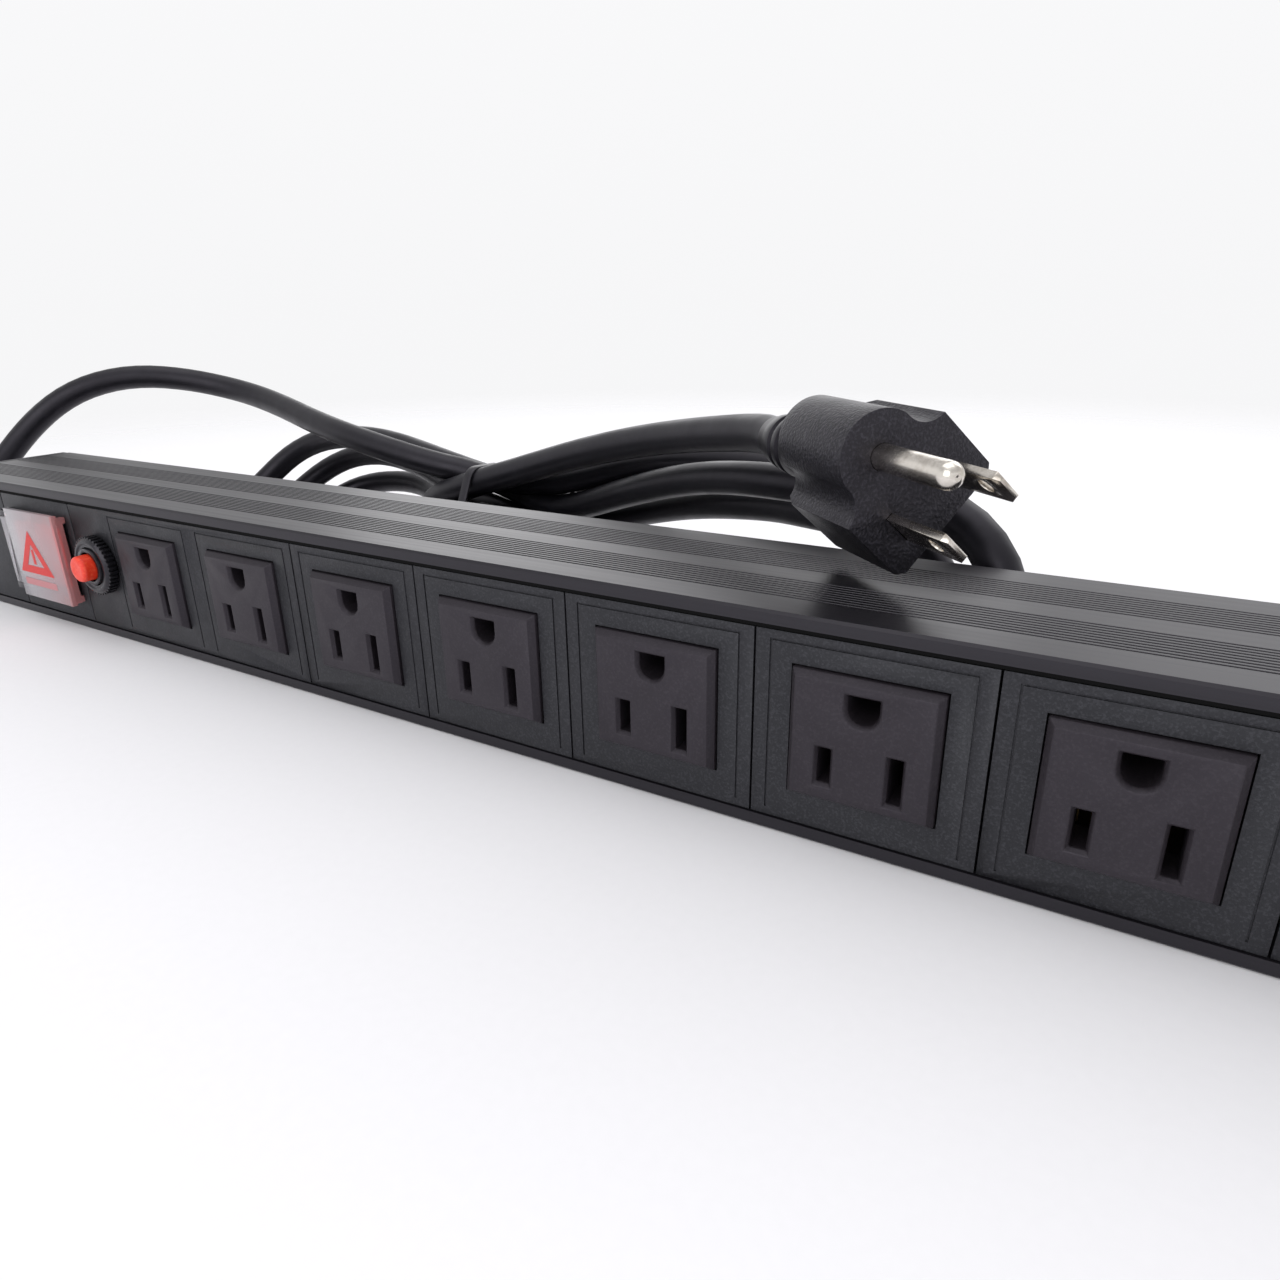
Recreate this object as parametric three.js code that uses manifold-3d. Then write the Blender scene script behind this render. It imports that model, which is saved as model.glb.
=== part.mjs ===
// Power strip for a 19-inch rack: extruded housing, eight outlets, guarded switch, reset breaker,
// and a tied power cord with a moulded plug. Millimetres, +Z up, outlets facing -Y, origin under
// the middle of the housing.
import * as THREE from "three";
import { mergeVertices } from "three/addons/utils/BufferGeometryUtils.js";
import Module from "manifold-3d";

const wasm = await Module();
wasm.setup();

// ---- driving dimensions -------------------------------------------------------------------
const LENGTH = 436;             // housing over both end caps
const DEPTH = 45;
const HEIGHT = 44;              // one rack unit less clearance
const CAP = 3;                  // end cap thickness
const WALL = 1.6;
const GAP = 0.3;                // clearance kept between touching parts
const PITCH = 41.5;             // outlet spacing along the housing
const SEAM = 0.4;               // visible seam between two front plates

const FRONT = -DEPTH / 2;
const REAR = DEPTH / 2;
const BODY_X = LENGTH / 2 - CAP;          // the extrusion ends here
const TOP_LIP = 3.2;
const BOTTOM_LIP = 2.8;
const SLOT_WIDE = 2.2;                    // groove behind the lips that the plates slide into
const RIB_THICK = 1.4;
const RIB_TALL = 2.5;
const FLUTE_BAND = 11.5;                  // each fluted band on top
const FLUTE_EDGE = 7.9;                   // plain band in front of and behind the fluted ones
const FLUTES = 9;
const FLUTE_DEEP = 0.45;

const PLATE_FACE = FRONT + GAP;
const PLATE_STEP = FRONT + WALL + GAP;
const PLATE_BACK = PLATE_STEP + SLOT_WIDE - 2 * GAP;
const PLATE_LOW = BOTTOM_LIP + GAP;
const PLATE_HIGH = HEIGHT - TOP_LIP - GAP;
const GROOVE_IN = 2.9;                    // decorative line round each outlet
const GROOVE_DOWN = 1.6;
const GROOVE_WIDE = 0.35;

const BREAKER_PLATE_X = -134.5;           // left edges of the wider plates
const SWITCH_PLATE_X = -174.3;

const OUTLET_Z = 22.2;
const WINDOW = { wide: 27.2, tall: 25.4 };
const INSERT_PROUD = 2;
const BLADE_SPACING = 12.7;
const BLADE_Z = 17.1;
const GROUND_ABOVE = 11.9;
const CHAMBER_Y = -16;                    // contact chambers behind the narrow slots start here
const INSERT_BACK = -4;

const SWITCH = { x: -152.7, z: 22.7, wide: 28, tall: 25.6, rockerWide: 23.2, rockerTall: 19.2 };
const ROCKER_TILT = 4;                    // degrees either side of level
const ROCKER_PIVOT_Y = -18.4;
const GUARD = { left: -165.6, right: -137.4, low: 8.6, high: 37, front: -25.9, thick: 1.5 };
const HINGE = { x: -168.6, y: -24.7, low: 12.4, high: 34 };

const BREAKER = { x: -122.7, z: 23.4, nutRadius: 8.9, neckRadius: 5.6, buttonRadius: 4.2 };
const BUTTON_TIP = -29.7;

const CORD = 9.1;                         // cord diameter
const GLAND_OUT = 13;                     // how far the gland reaches past the left end cap

const PLUG = { at: [111.8, 1.3, 60.8], yaw: -41.7, roll: 47.8, deep: 24, wideDeep: 14 };

// ---- materials ----------------------------------------------------------------------------
const finish = (color, roughness, metalness = 0) =>
  new THREE.MeshStandardMaterial({ color, roughness, metalness });
const anodised = finish("#222226", 0.45, 0.8);
const plate = finish("#2c2c2f", 0.7);
const insert = finish("#322f31", 0.6);
const blackPlastic = finish("#1b1b1d", 0.5);
const redPlastic = finish("#c3201a", 0.3);
const orangePlastic = finish("#f04a30", 0.45);
const clearPlastic = finish("#e9cfd0", 0.15);
const pvc = finish("#141418", 0.35);
const brass = finish("#b08d4f", 0.35, 1);
const nickel = finish("#cfc8c0", 0.25, 1);
const zinc = finish("#3a3a3d", 0.4, 0.9);
const glass = finish("#f0c8a8", 0.1);

// ---- shape helpers ------------------------------------------------------------------------
const model = new THREE.Group();

function add(name, geometry, material, parent = model) {
  const mesh = new THREE.Mesh(geometry, material);
  mesh.name = name;
  parent.add(mesh);
  return mesh;
}

function bare(geometry) {
  const copy = geometry.clone();
  copy.deleteAttribute("normal");
  copy.deleteAttribute("uv");
  return mergeVertices(copy, 1e-4);
}

function solid(geometry) {
  const merged = bare(geometry);
  return new wasm.Manifold(new wasm.Mesh({
    numProp: 3,
    vertProperties: new Float32Array(merged.attributes.position.array),
    triVerts: new Uint32Array(merged.index.array),
  }));
}

function geometryOf(manifold) {
  const mesh = manifold.getMesh();
  const geometry = new THREE.BufferGeometry();
  geometry.setAttribute("position", new THREE.BufferAttribute(mesh.vertProperties, 3));
  geometry.setIndex(new THREE.BufferAttribute(mesh.triVerts, 1));
  return geometry;
}

function block([x0, x1], [y0, y1], [z0, z1]) {
  return new THREE.BoxGeometry(x1 - x0, y1 - y0, z1 - z0)
    .translate((x0 + x1) / 2, (y0 + y1) / 2, (z0 + z1) / 2);
}

const AXES = {
  x: new THREE.Matrix4().makeBasis(
    new THREE.Vector3(0, 1, 0), new THREE.Vector3(0, 0, 1), new THREE.Vector3(1, 0, 0)),
  y: new THREE.Matrix4().makeBasis(
    new THREE.Vector3(1, 0, 0), new THREE.Vector3(0, 0, 1), new THREE.Vector3(0, -1, 0)),
};

// A (Y, Z) outline run along X from x0 to x1.
function alongX(outline, x0, x1, holes = []) {
  const points = outline.map(([y, z]) => new THREE.Vector2(y, z));
  if (THREE.ShapeUtils.isClockWise(points)) points.reverse();
  const shape = new THREE.Shape(points);
  shape.holes = holes;
  return new THREE.ExtrudeGeometry(shape, { depth: x1 - x0, bevelEnabled: false })
    .applyMatrix4(AXES.x).translate(x0, 0, 0);
}

// A round bar or ring along one axis, from lower to upper on that axis.
function round(axis, centre, radius, lower, upper, sides = 24) {
  const bar = new THREE.CylinderGeometry(radius, radius, upper - lower, sides);
  if (axis === "x") bar.rotateZ(Math.PI / 2);
  if (axis === "z") bar.rotateX(Math.PI / 2);
  const middle = (lower + upper) / 2;
  const [a, b] = centre;
  if (axis === "x") return bar.translate(middle, a, b);
  if (axis === "y") return bar.translate(a, middle, b);
  return bar.translate(a, b, middle);
}

// Sections with equal numbers of points, skinned into one closed body.
function loft(sections, place) {
  const count = sections[0].points.length;
  const points = [];
  const faces = [];
  sections.forEach(({ points: outline, at }) => outline.forEach(([a, b]) => points.push(...place(a, b, at))));
  for (let s = 0; s + 1 < sections.length; s += 1) {
    for (let i = 0; i < count; i += 1) {
      const j = (i + 1) % count;
      const low = s * count;
      const high = low + count;
      faces.push(low + i, low + j, high + j, low + i, high + j, high + i);
    }
  }
  const flat = sections[0].points.map(([a, b]) => new THREE.Vector2(a, b));
  const last = (sections.length - 1) * count;
  THREE.ShapeUtils.triangulateShape(flat, []).forEach(([a, b, c]) => {
    faces.push(a, c, b, last + a, last + b, last + c);
  });
  const geometry = new THREE.BufferGeometry();
  geometry.setAttribute("position", new THREE.Float32BufferAttribute(points, 3));
  geometry.setIndex(signedVolume(points, faces) > 0 ? faces : faces.reverse());
  return geometry;
}

function signedVolume(points, faces) {
  const at = (i) => new THREE.Vector3().fromArray(points, 3 * i);
  let sum = 0;
  for (let f = 0; f < faces.length; f += 3) {
    sum += at(faces[f]).dot(at(faces[f + 1]).cross(at(faces[f + 2])));
  }
  return sum;
}

const rectangle = (x, z, wide, tall) => [
  [x - wide / 2, z - tall / 2], [x + wide / 2, z - tall / 2],
  [x + wide / 2, z + tall / 2], [x - wide / 2, z + tall / 2],
];
const facing = (x, z, y) => [x, y, z];

// The ground opening: flat on top, round below.
function dShape(x, z, wide, steps = 8) {
  const radius = wide / 2;
  const points = [[x - radius, z + radius * 0.9], [x - radius, z]];
  for (let i = 1; i < steps; i += 1) {
    const angle = Math.PI + (Math.PI * i) / steps;
    points.push([x + radius * Math.cos(angle), z + radius * Math.sin(angle)]);
  }
  points.push([x + radius, z], [x + radius, z + radius * 0.9]);
  return points;
}

// ---- housing extrusion --------------------------------------------------------------------
const PORTS = [[18.2, 39], [18.2, 5], [-13.6, 39], [-13.6, 5]];    // (Y, Z) of the screw channels
const PORT_RADIUS = 1.8;
const PORT_BLOCK = 6.4;

function circlePath([y, z], radius) {
  const path = new THREE.Path();
  path.absarc(y, z, radius, 0, 2 * Math.PI, true);
  return path;
}

function topOutline() {
  const points = [];
  const pitch = FLUTE_BAND / FLUTES;
  const starts = [FRONT + FLUTE_EDGE, REAR - FLUTE_EDGE - FLUTE_BAND];
  starts.forEach((start) => {
    for (let i = 0; i < FLUTES; i += 1) {
      const y = start + (i + 0.25) * pitch;
      points.push([y, HEIGHT], [y + pitch * 0.12, HEIGHT - FLUTE_DEEP]);
      points.push([y + pitch * 0.38, HEIGHT - FLUTE_DEEP], [y + pitch * 0.5, HEIGHT]);
    }
  });
  return points;
}

function housingOutline() {
  const chamfer = 0.5;
  const groove = FRONT + WALL + SLOT_WIDE;
  const ceiling = HEIGHT - WALL;
  const inner = REAR - WALL;
  const half = PORT_BLOCK / 2;
  return [
    [FRONT, HEIGHT - TOP_LIP], [FRONT, HEIGHT - chamfer], [FRONT + chamfer, HEIGHT],
    ...topOutline(),
    [REAR - chamfer, HEIGHT], [REAR, HEIGHT - chamfer], [REAR, chamfer], [REAR - chamfer, 0],
    [FRONT + chamfer, 0], [FRONT, chamfer], [FRONT, BOTTOM_LIP], [FRONT + WALL, BOTTOM_LIP],
    [FRONT + WALL, WALL], [groove, WALL], [groove, WALL + RIB_TALL],
    [groove + RIB_THICK, WALL + RIB_TALL], [groove + RIB_THICK, PORTS[3][1] + half],
    [PORTS[3][0] + half, PORTS[3][1] + half], [PORTS[3][0] + half, WALL],
    [PORTS[1][0] - half, WALL], [PORTS[1][0] - half, PORTS[1][1] + half],
    [inner, PORTS[1][1] + half], [inner, PORTS[0][1] - half],
    [PORTS[0][0] - half, PORTS[0][1] - half], [PORTS[0][0] - half, ceiling],
    [PORTS[2][0] + half, ceiling], [PORTS[2][0] + half, PORTS[2][1] - half],
    [groove + RIB_THICK, PORTS[2][1] - half], [groove + RIB_THICK, ceiling - RIB_TALL],
    [groove, ceiling - RIB_TALL], [groove, ceiling], [FRONT + WALL, ceiling],
    [FRONT + WALL, HEIGHT - TOP_LIP],
  ];
}

function buildHousing() {
  const holes = PORTS.map((port) => {
    const path = circlePath(port, PORT_RADIUS);
    return new THREE.Path(path.getSpacedPoints(10).slice(0, -1));
  });
  add("housing", alongX(housingOutline(), -BODY_X, BODY_X, holes), anodised);
}

// ---- end caps and their screws ------------------------------------------------------------
const GLAND_AT = [0, 22];                 // (Y, Z) of the cord entry
const GLAND_RADIUS = 7.6;

function capBlank(x0, x1) {
  const c = 1.2;
  const outline = [
    [FRONT, c], [FRONT + c, 0], [REAR - c, 0], [REAR, c],
    [REAR, HEIGHT - c], [REAR - c, HEIGHT], [FRONT + c, HEIGHT], [FRONT, HEIGHT - c],
  ];
  let cap = solid(alongX(outline, x0, x1));
  PORTS.forEach((port) => {
    cap = cap.subtract(solid(round("x", port, PORT_RADIUS, x0 - 1, x1 + 1, 12)));
  });
  return cap;
}

function screwProfile() {
  const head = 3.1;
  const shank = 1.45;
  return [[0, 0], [shank, 0], [shank, 11], [head, 11], [head, 12.2], [head - 0.8, 12.8], [0, 12.8]];
}

function buildEndCaps() {
  const left = capBlank(-LENGTH / 2, -BODY_X - GAP)
    .subtract(solid(round("x", GLAND_AT, GLAND_RADIUS + GAP, -LENGTH, -BODY_X + 1, 24)));
  add("end_cap_left", geometryOf(left), blackPlastic);
  add("end_cap_right", geometryOf(capBlank(BODY_X + GAP, LENGTH / 2)), blackPlastic);
  const profile = screwProfile().map(([r, y]) => new THREE.Vector2(r, y));
  const seat = LENGTH / 2 + GAP - 11;
  [["left", -1], ["right", 1]].forEach(([side, sign]) => {
    PORTS.forEach(([y, z], i) => {
      const screw = add(`end_screw_${side}_${i + 1}`, new THREE.LatheGeometry(profile, 12), zinc);
      screw.rotation.z = -sign * Math.PI / 2;
      screw.position.set(sign * seat, y, z);
    });
  });
}

// The gland: a flanged bush through the left cap with a ribbed sleeve outside it.
function buildGland() {
  const flange = -LENGTH / 2 - GAP;
  const bush = round("x", GLAND_AT, GLAND_RADIUS, flange - 1, -BODY_X + 5);
  const collar = round("x", GLAND_AT, 9.5, flange - 2.4, flange);
  const sleeve = new THREE.CylinderGeometry(6.1, 7.4, GLAND_OUT, 20).rotateZ(Math.PI / 2)
    .translate(-LENGTH / 2 - GLAND_OUT / 2, ...GLAND_AT);
  let gland = solid(bush).add(solid(collar)).add(solid(sleeve));
  [0.42, 0.6, 0.78].forEach((share) => {
    const x = -LENGTH / 2 - GLAND_OUT * share;
    const ring = solid(round("x", GLAND_AT, 9, x - 0.5, x + 0.5, 20))
      .subtract(solid(round("x", GLAND_AT, 5.9, x - 1, x + 1, 20)));
    gland = gland.subtract(ring);
  });
  add("cord_gland", geometryOf(gland), blackPlastic);
}

// ---- front plates -------------------------------------------------------------------------
function plateBlank(x0, x1) {
  const low = WALL + GAP;
  const high = HEIGHT - WALL - GAP;
  return solid(alongX([
    [PLATE_FACE, PLATE_LOW], [PLATE_STEP, PLATE_LOW], [PLATE_STEP, low], [PLATE_BACK, low],
    [PLATE_BACK, high], [PLATE_STEP, high], [PLATE_STEP, PLATE_HIGH], [PLATE_FACE, PLATE_HIGH],
  ], x0 + SEAM / 2, x1 - SEAM / 2));
}

function window(x, z, wide, tall) {
  return solid(block([x - wide / 2, x + wide / 2], [PLATE_FACE - 1, PLATE_BACK + 1],
    [z - tall / 2, z + tall / 2]));
}

// Three thin lines round an outlet: over it and down both sides.
function outletLines(centre) {
  const y = [PLATE_FACE - 1, PLATE_FACE + 0.3];
  const x = [centre - PITCH / 2 + GROOVE_IN, centre + PITCH / 2 - GROOVE_IN];
  const z = [PLATE_LOW + GROOVE_DOWN, PLATE_HIGH - GROOVE_DOWN];
  return [
    block(x, y, [z[1] - GROOVE_WIDE, z[1]]),
    block([x[0], x[0] + GROOVE_WIDE], y, z),
    block([x[1] - GROOVE_WIDE, x[1]], y, z),
  ].map(solid);
}

function outletPlate(x0, x1, centres) {
  return centres.reduce((body, centre) => {
    const cut = body.subtract(window(centre, OUTLET_Z, WINDOW.wide, WINDOW.tall));
    return outletLines(centre).reduce((rest, line) => rest.subtract(line), cut);
  }, plateBlank(x0, x1));
}

// Outlets 8 to 3 have a plate each; outlets 2 and 1 share one with the breaker.
const outletCentres = Array.from({ length: 8 }, (_, i) => BODY_X - (7 - i + 0.5) * PITCH);
const firstSingle = BODY_X - 6 * PITCH;

function buildPlates() {
  add("blank_plate", geometryOf(plateBlank(-BODY_X, SWITCH_PLATE_X)), plate);
  const switchPlate = plateBlank(SWITCH_PLATE_X, BREAKER_PLATE_X)
    .subtract(window(SWITCH.x, SWITCH.z, 27, 22.2));
  add("switch_plate", geometryOf(switchPlate), plate);
  const neckHole = round("y", [BREAKER.x, BREAKER.z], BREAKER.neckRadius + GAP, -30, 0);
  const breakerPlate = outletPlate(BREAKER_PLATE_X, firstSingle, outletCentres.slice(0, 2))
    .subtract(solid(neckHole));
  add("breaker_plate", geometryOf(breakerPlate), plate);
  outletCentres.slice(2).forEach((centre, i) => {
    const body = outletPlate(centre - PITCH / 2, centre + PITCH / 2, [centre]);
    add(`outlet_plate_${i + 3}`, geometryOf(body), plate);
  });
}

// ---- outlets ------------------------------------------------------------------------------
// A blade slot: a sloped mouth, a narrow throat and a wide contact chamber open at the back.
function bladeSlot(x, z, tall) {
  const face = PLATE_FACE - INSERT_PROUD;
  const mouth = loft([
    { points: rectangle(x, z, 3.7, tall + 0.2), at: face - 0.1 },
    { points: rectangle(x, z, 2.3, tall - 1.2), at: face + 0.9 },
  ], facing);
  const throat = block([x - 1.15, x + 1.15], [face, CHAMBER_Y + 0.1],
    [z - tall / 2 + 0.6, z + tall / 2 - 0.6]);
  const chamber = block([x - 2.3, x + 2.3], [CHAMBER_Y, INSERT_BACK + 1], [z - 5.2, z + 5.2]);
  return [mouth, throat, chamber].map(solid);
}

function groundSlot(x, z) {
  const face = PLATE_FACE - INSERT_PROUD;
  const mouth = loft([
    { points: dShape(x, z, 6.9), at: face - 0.1 },
    { points: dShape(x, z, 5.5), at: face + 0.9 },
  ], facing);
  const throat = loft([
    { points: dShape(x, z, 5.5), at: face },
    { points: dShape(x, z, 5.5), at: INSERT_BACK + 1 },
  ], facing);
  return [mouth, throat].map(solid);
}

function outletInsert(x) {
  const face = PLATE_FACE - INSERT_PROUD;
  const rim = PLATE_FACE - 0.5;
  const wide = WINDOW.wide - 2 * GAP;
  const tall = WINDOW.tall - 2 * GAP;
  const front = loft([
    { points: rectangle(x, OUTLET_Z, wide - 2.2, tall - 2), at: face },
    { points: rectangle(x, OUTLET_Z, wide, tall), at: rim },
    { points: rectangle(x, OUTLET_Z, wide, tall), at: PLATE_BACK + 0.5 },
  ], facing);
  const flange = block([x - 14.6, x + 14.6], [PLATE_BACK + GAP, PLATE_BACK + GAP + 1.6],
    [OUTLET_Z - 13.4, OUTLET_Z + 13.4]);
  const body = block([x - 12, x + 12], [PLATE_BACK, INSERT_BACK], [OUTLET_Z - 11.3, OUTLET_Z + 11.3]);
  const blank = solid(front).add(solid(flange)).add(solid(body));
  return [
    ...bladeSlot(x - BLADE_SPACING / 2, BLADE_Z, 8),
    ...bladeSlot(x + BLADE_SPACING / 2, BLADE_Z, 9.9),
    ...groundSlot(x, BLADE_Z + GROUND_ABOVE),
  ].reduce((rest, cut) => rest.subtract(cut), blank);
}

function buildOutlets() {
  outletCentres.forEach((x, i) => {
    add(`outlet_${i + 1}`, geometryOf(outletInsert(x)), insert);
  });
}

// ---- busbars behind the outlets -----------------------------------------------------------
const BUS_Y = [INSERT_BACK + GAP, INSERT_BACK + GAP + 0.8];
const BUS_LEFT = -108;
const BUS_RIGHT = BODY_X - 4;

// A strip with a pair of contact leaves reaching into each outlet.
function busbar(stripZ, slotShift, leafZ, leafGap) {
  let bar = solid(block([BUS_LEFT, BUS_RIGHT], BUS_Y, stripZ));
  outletCentres.forEach((centre) => {
    [-1, 1].forEach((side) => {
      const inner = centre + slotShift + side * leafGap;
      const x = [Math.min(inner, inner + side * 0.6), Math.max(inner, inner + side * 0.6)];
      bar = bar.add(solid(block(x, [CHAMBER_Y + 1.5, BUS_Y[1]], leafZ)));
    });
  });
  return bar;
}

function buildBusbars() {
  const line = busbar([12.4, 16.4], -BLADE_SPACING / 2, [13.4, 17.4], 0.85);
  const neutral = busbar([17.9, 21.9], BLADE_SPACING / 2, [16.9, 20.9], 0.85);
  const groundZ = BLADE_Z + GROUND_ABOVE;
  const ground = busbar([groundZ - 2, groundZ + 2], 0, [groundZ - 1.2, groundZ + 1.2], 1.7);
  add("line_busbar", geometryOf(line), brass);
  add("neutral_busbar", geometryOf(neutral), brass);
  add("ground_busbar", geometryOf(ground), brass);
  add("busbar_carrier", block([BUS_LEFT + 5, BUS_RIGHT], [BUS_Y[1] + GAP, 0], [9, 35]), blackPlastic);
}

// ---- switch and its guard -----------------------------------------------------------------
function buildSwitch() {
  const { x, z, wide, tall } = SWITCH;
  const face = PLATE_FACE - GAP;
  const bezel = block([x - wide / 2, x + wide / 2], [face - 0.8, face],
    [z - tall / 2, z + tall / 2]);
  const body = block([x - 13.2, x + 13.2], [face - 0.4, -2], [z - 10.8, z + 10.8]);
  const pocket = block([x - 12, x + 12], [-30, -12], [z - 10, z + 10]);
  const pivot = round("z", [x, ROCKER_PIVOT_Y], 1.3, z - 12, z + 12, 12);
  let housing = solid(bezel).add(solid(body));
  [[HINGE.high + GAP, HINGE.high + 2.1], [HINGE.low - 2.1, HINGE.low - GAP]].forEach((span) => {
    const ear = block([HINGE.x - 1.3, x - wide / 2 + 0.7], [HINGE.y - 1.3, face], span);
    housing = housing.add(solid(ear));
  });
  const pinHole = round("z", [HINGE.x, HINGE.y], 0.9, 0, HEIGHT, 12);
  [pocket, pivot, pinHole].forEach((cut) => { housing = housing.subtract(solid(cut)); });
  add("switch_body", geometryOf(housing), blackPlastic);
  add("switch_lamp", round("z", [x, -13.9], 1.5, z - 5, z + 5, 12), glass);
  [["line", -8], ["load", 0]].forEach(([name, shift]) => {
    add(`switch_terminal_${name}`, block([x + shift - 0.4, x + shift + 0.4],
      [-2 + GAP, 6.5], [z - 3.15, z + 3.15]), brass);
  });
}

// The rocker is built about its pivot, then tilted to the side that is pressed at rest.
function buildRocker() {
  const { x, z, rockerWide: wide, rockerTall: tall } = SWITCH;
  const half = wide / 2;
  const crown = -23 - ROCKER_PIVOT_Y;
  const outline = [
    [-half, crown - 0.1], [0, crown + 0.5], [half, crown - 0.1],
    [half - 0.4, 1.2], [5, 2.6], [-5, 2.6], [-half + 0.4, 1.2],
  ].map(([a, b]) => new THREE.Vector2(a, b));
  const paddle = new THREE.ExtrudeGeometry(new THREE.Shape(outline), { depth: tall, bevelEnabled: false })
    .translate(0, 0, -tall / 2);
  const trunnion = round("z", [0, 0], 1, -10.7, 10.7, 12);
  const rocker = add("rocker", geometryOf(solid(paddle).add(solid(trunnion))), redPlastic);
  rocker.position.set(x, ROCKER_PIVOT_Y, z);
  rocker.rotation.z = THREE.MathUtils.degToRad(ROCKER_TILT);
}

function buildGuard() {
  const { left, right, low, high, front, thick } = GUARD;
  const sheet = solid(block([left, right], [front, front + thick], [low, high]));
  const barrel = solid(round("z", [HINGE.x, HINGE.y], 1.6, HINGE.low, HINGE.high, 16));
  const web = solid(block([HINGE.x, left + 1], [front + 0.2, front + thick], [HINGE.low, HINGE.high]));
  const pinHole = solid(round("z", [HINGE.x, HINGE.y], 0.9, 0, HEIGHT, 12));
  let cover = sheet.add(web).add(barrel).subtract(pinHole);
  [low + 0.8, high - 2.6].forEach((z) => {
    const leg = block([right - 0.9, right], [front + thick - 0.5, PLATE_FACE - GAP], [z, z + 1.8]);
    cover = cover.add(solid(leg));
  });
  add("guard_cover", geometryOf(cover), clearPlastic);
  add("guard_hinge_pin", round("z", [HINGE.x, HINGE.y], 0.6, HINGE.low - 2.1, HINGE.high + 2.1, 10), nickel);
}

// ---- breaker ------------------------------------------------------------------------------
function buildBreaker() {
  const { x, z, nutRadius, neckRadius, buttonRadius } = BREAKER;
  const centre = [x, z];
  const neckFront = -26.2;
  const shell = solid(block([x - 8.2, x + 8.2], [PLATE_BACK + GAP, 6], [z - 14, z + 12]))
    .add(solid(round("y", centre, neckRadius, neckFront, PLATE_BACK + 1)))
    .subtract(solid(round("y", centre, buttonRadius + GAP, -30, -10)));
  add("breaker_body", geometryOf(shell), blackPlastic);
  const nut = solid(knurledDisc(nutRadius, 3.3, 30)).translate(x, PLATE_FACE - GAP - 3.3, z)
    .subtract(solid(round("y", centre, neckRadius + GAP, -40, 0)));
  add("breaker_nut", geometryOf(nut), blackPlastic);
  const stem = [[0, 0], [3.9, 0], [buttonRadius, 0.6], [buttonRadius, 13], [3.4, 14.6], [0, 14.9]]
    .map(([r, y]) => new THREE.Vector2(r, y));
  const button = add("reset_button", new THREE.LatheGeometry(stem, 20), orangePlastic);
  button.rotation.x = Math.PI;
  button.position.set(x, BUTTON_TIP + 14.9, z);
  ["line", "load"].forEach((name, i) => {
    const side = 2 * i - 1;
    add(`breaker_terminal_${name}`, block([x - 3.15, x + 3.15], [6 + GAP, 13],
      [z - 1 + side * 8 - 0.4, z - 1 + side * 8 + 0.4]), brass);
  });
}

// A disc along +Y whose rim is cut into shallow teeth.
function knurledDisc(radius, thick, teeth) {
  const points = [];
  for (let i = 0; i < 2 * teeth; i += 1) {
    const angle = (Math.PI * i) / teeth;
    const reach = i % 2 ? radius : radius - 0.35;
    points.push(new THREE.Vector2(reach * Math.cos(angle), reach * Math.sin(angle)));
  }
  return new THREE.ExtrudeGeometry(new THREE.Shape(points), { depth: thick, bevelEnabled: false })
    .applyMatrix4(AXES.y).translate(0, thick, 0);
}

// ---- wires --------------------------------------------------------------------------------
// A round cord of the given diameter along a smooth curve through the points.
function tube(points, diameter, sides, steps) {
  const stations = points.map((p) => new THREE.Vector3(...p));
  const path = new THREE.CatmullRomCurve3(stations, false, "centripetal");
  const section = new THREE.Shape();
  for (let i = 0; i < sides; i += 1) {
    const angle = (2 * Math.PI * i) / sides;
    const [a, b] = [Math.cos(angle) * diameter / 2, Math.sin(angle) * diameter / 2];
    if (i) section.lineTo(a, b);
    else section.moveTo(a, b);
  }
  return new THREE.ExtrudeGeometry(section, { steps, bevelEnabled: false, extrudePath: path });
}

const WIRE = 2.6;
const WIRE_START = -BODY_X + 5.9;         // just inside the gland
const WIRE_END_Y = BUS_Y[1] + 0.7;        // just behind the busbars
const GROUND_SCREW = [-180, 22];          // (X, Z) on the rear wall
const WIRES = {
  line_wire: { color: "#1c1c1e", route: [[WIRE_START, -3.2, 24], [-200, -3, 25],
    [-185, 2, 27], [-172, 8, 25], [-163.5, 11.5, 23.2], [-160.7, 7.3, 22.7]] },
  switched_wire: { color: "#1c1c1e", route: [[-152.7, 7.3, 22.7], [-151, 12, 24],
    [-140, 17, 28], [-128, 18.4, 31], [-122.7, 14, 30.4]] },
  load_wire: { color: "#1c1c1e", route: [[-122.7, 14, 14.4], [-119, 17.6, 14],
    [-109, 12, 13.6], [-106, 4, 14.4], [-106, WIRE_END_Y, 14.4]] },
  neutral_wire: { color: "#e8e8e6", route: [[WIRE_START, 3.2, 24], [-200, 8, 30],
    [-180, 11, 37.5], [-130, 11, 38.3], [-112, 10, 36], [-106.3, 7, 25],
    [-106, 3, 20], [-106, WIRE_END_Y, 19.9]] },
  ground_wire: { color: "#1f6b3a", route: [[WIRE_START, 0.5, 18.8], [-203, 4, 14],
    [-192, 12, 15], [GROUND_SCREW[0], 17.6, 16.6], [-168, 15, 13], [-158, 12, 10.2],
    [-130, 11, 10], [-114, 8, 11], [-111.2, 5, 20], [-108, 5, 27],
    [-106.2, 1.5, 29.2], [-106.2, WIRE_END_Y, 29.2]] },
};

function buildWires() {
  Object.entries(WIRES).forEach(([name, { color, route }]) => {
    add(name, tube(route, WIRE, 8, 2 * route.length + 4), finish(color, 0.45));
  });
  const stud = [[0, 0], [3.2, 0], [3.2, 1.6], [1.5, 1.6], [1.5, 3.4], [0, 3.4]]
    .map(([r, y]) => new THREE.Vector2(r, y));
  const screw = add("ground_screw", new THREE.LatheGeometry(stud, 12), brass);
  screw.position.set(GROUND_SCREW[0], REAR - WALL - GAP - 3.4, GROUND_SCREW[1]);
}

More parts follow.
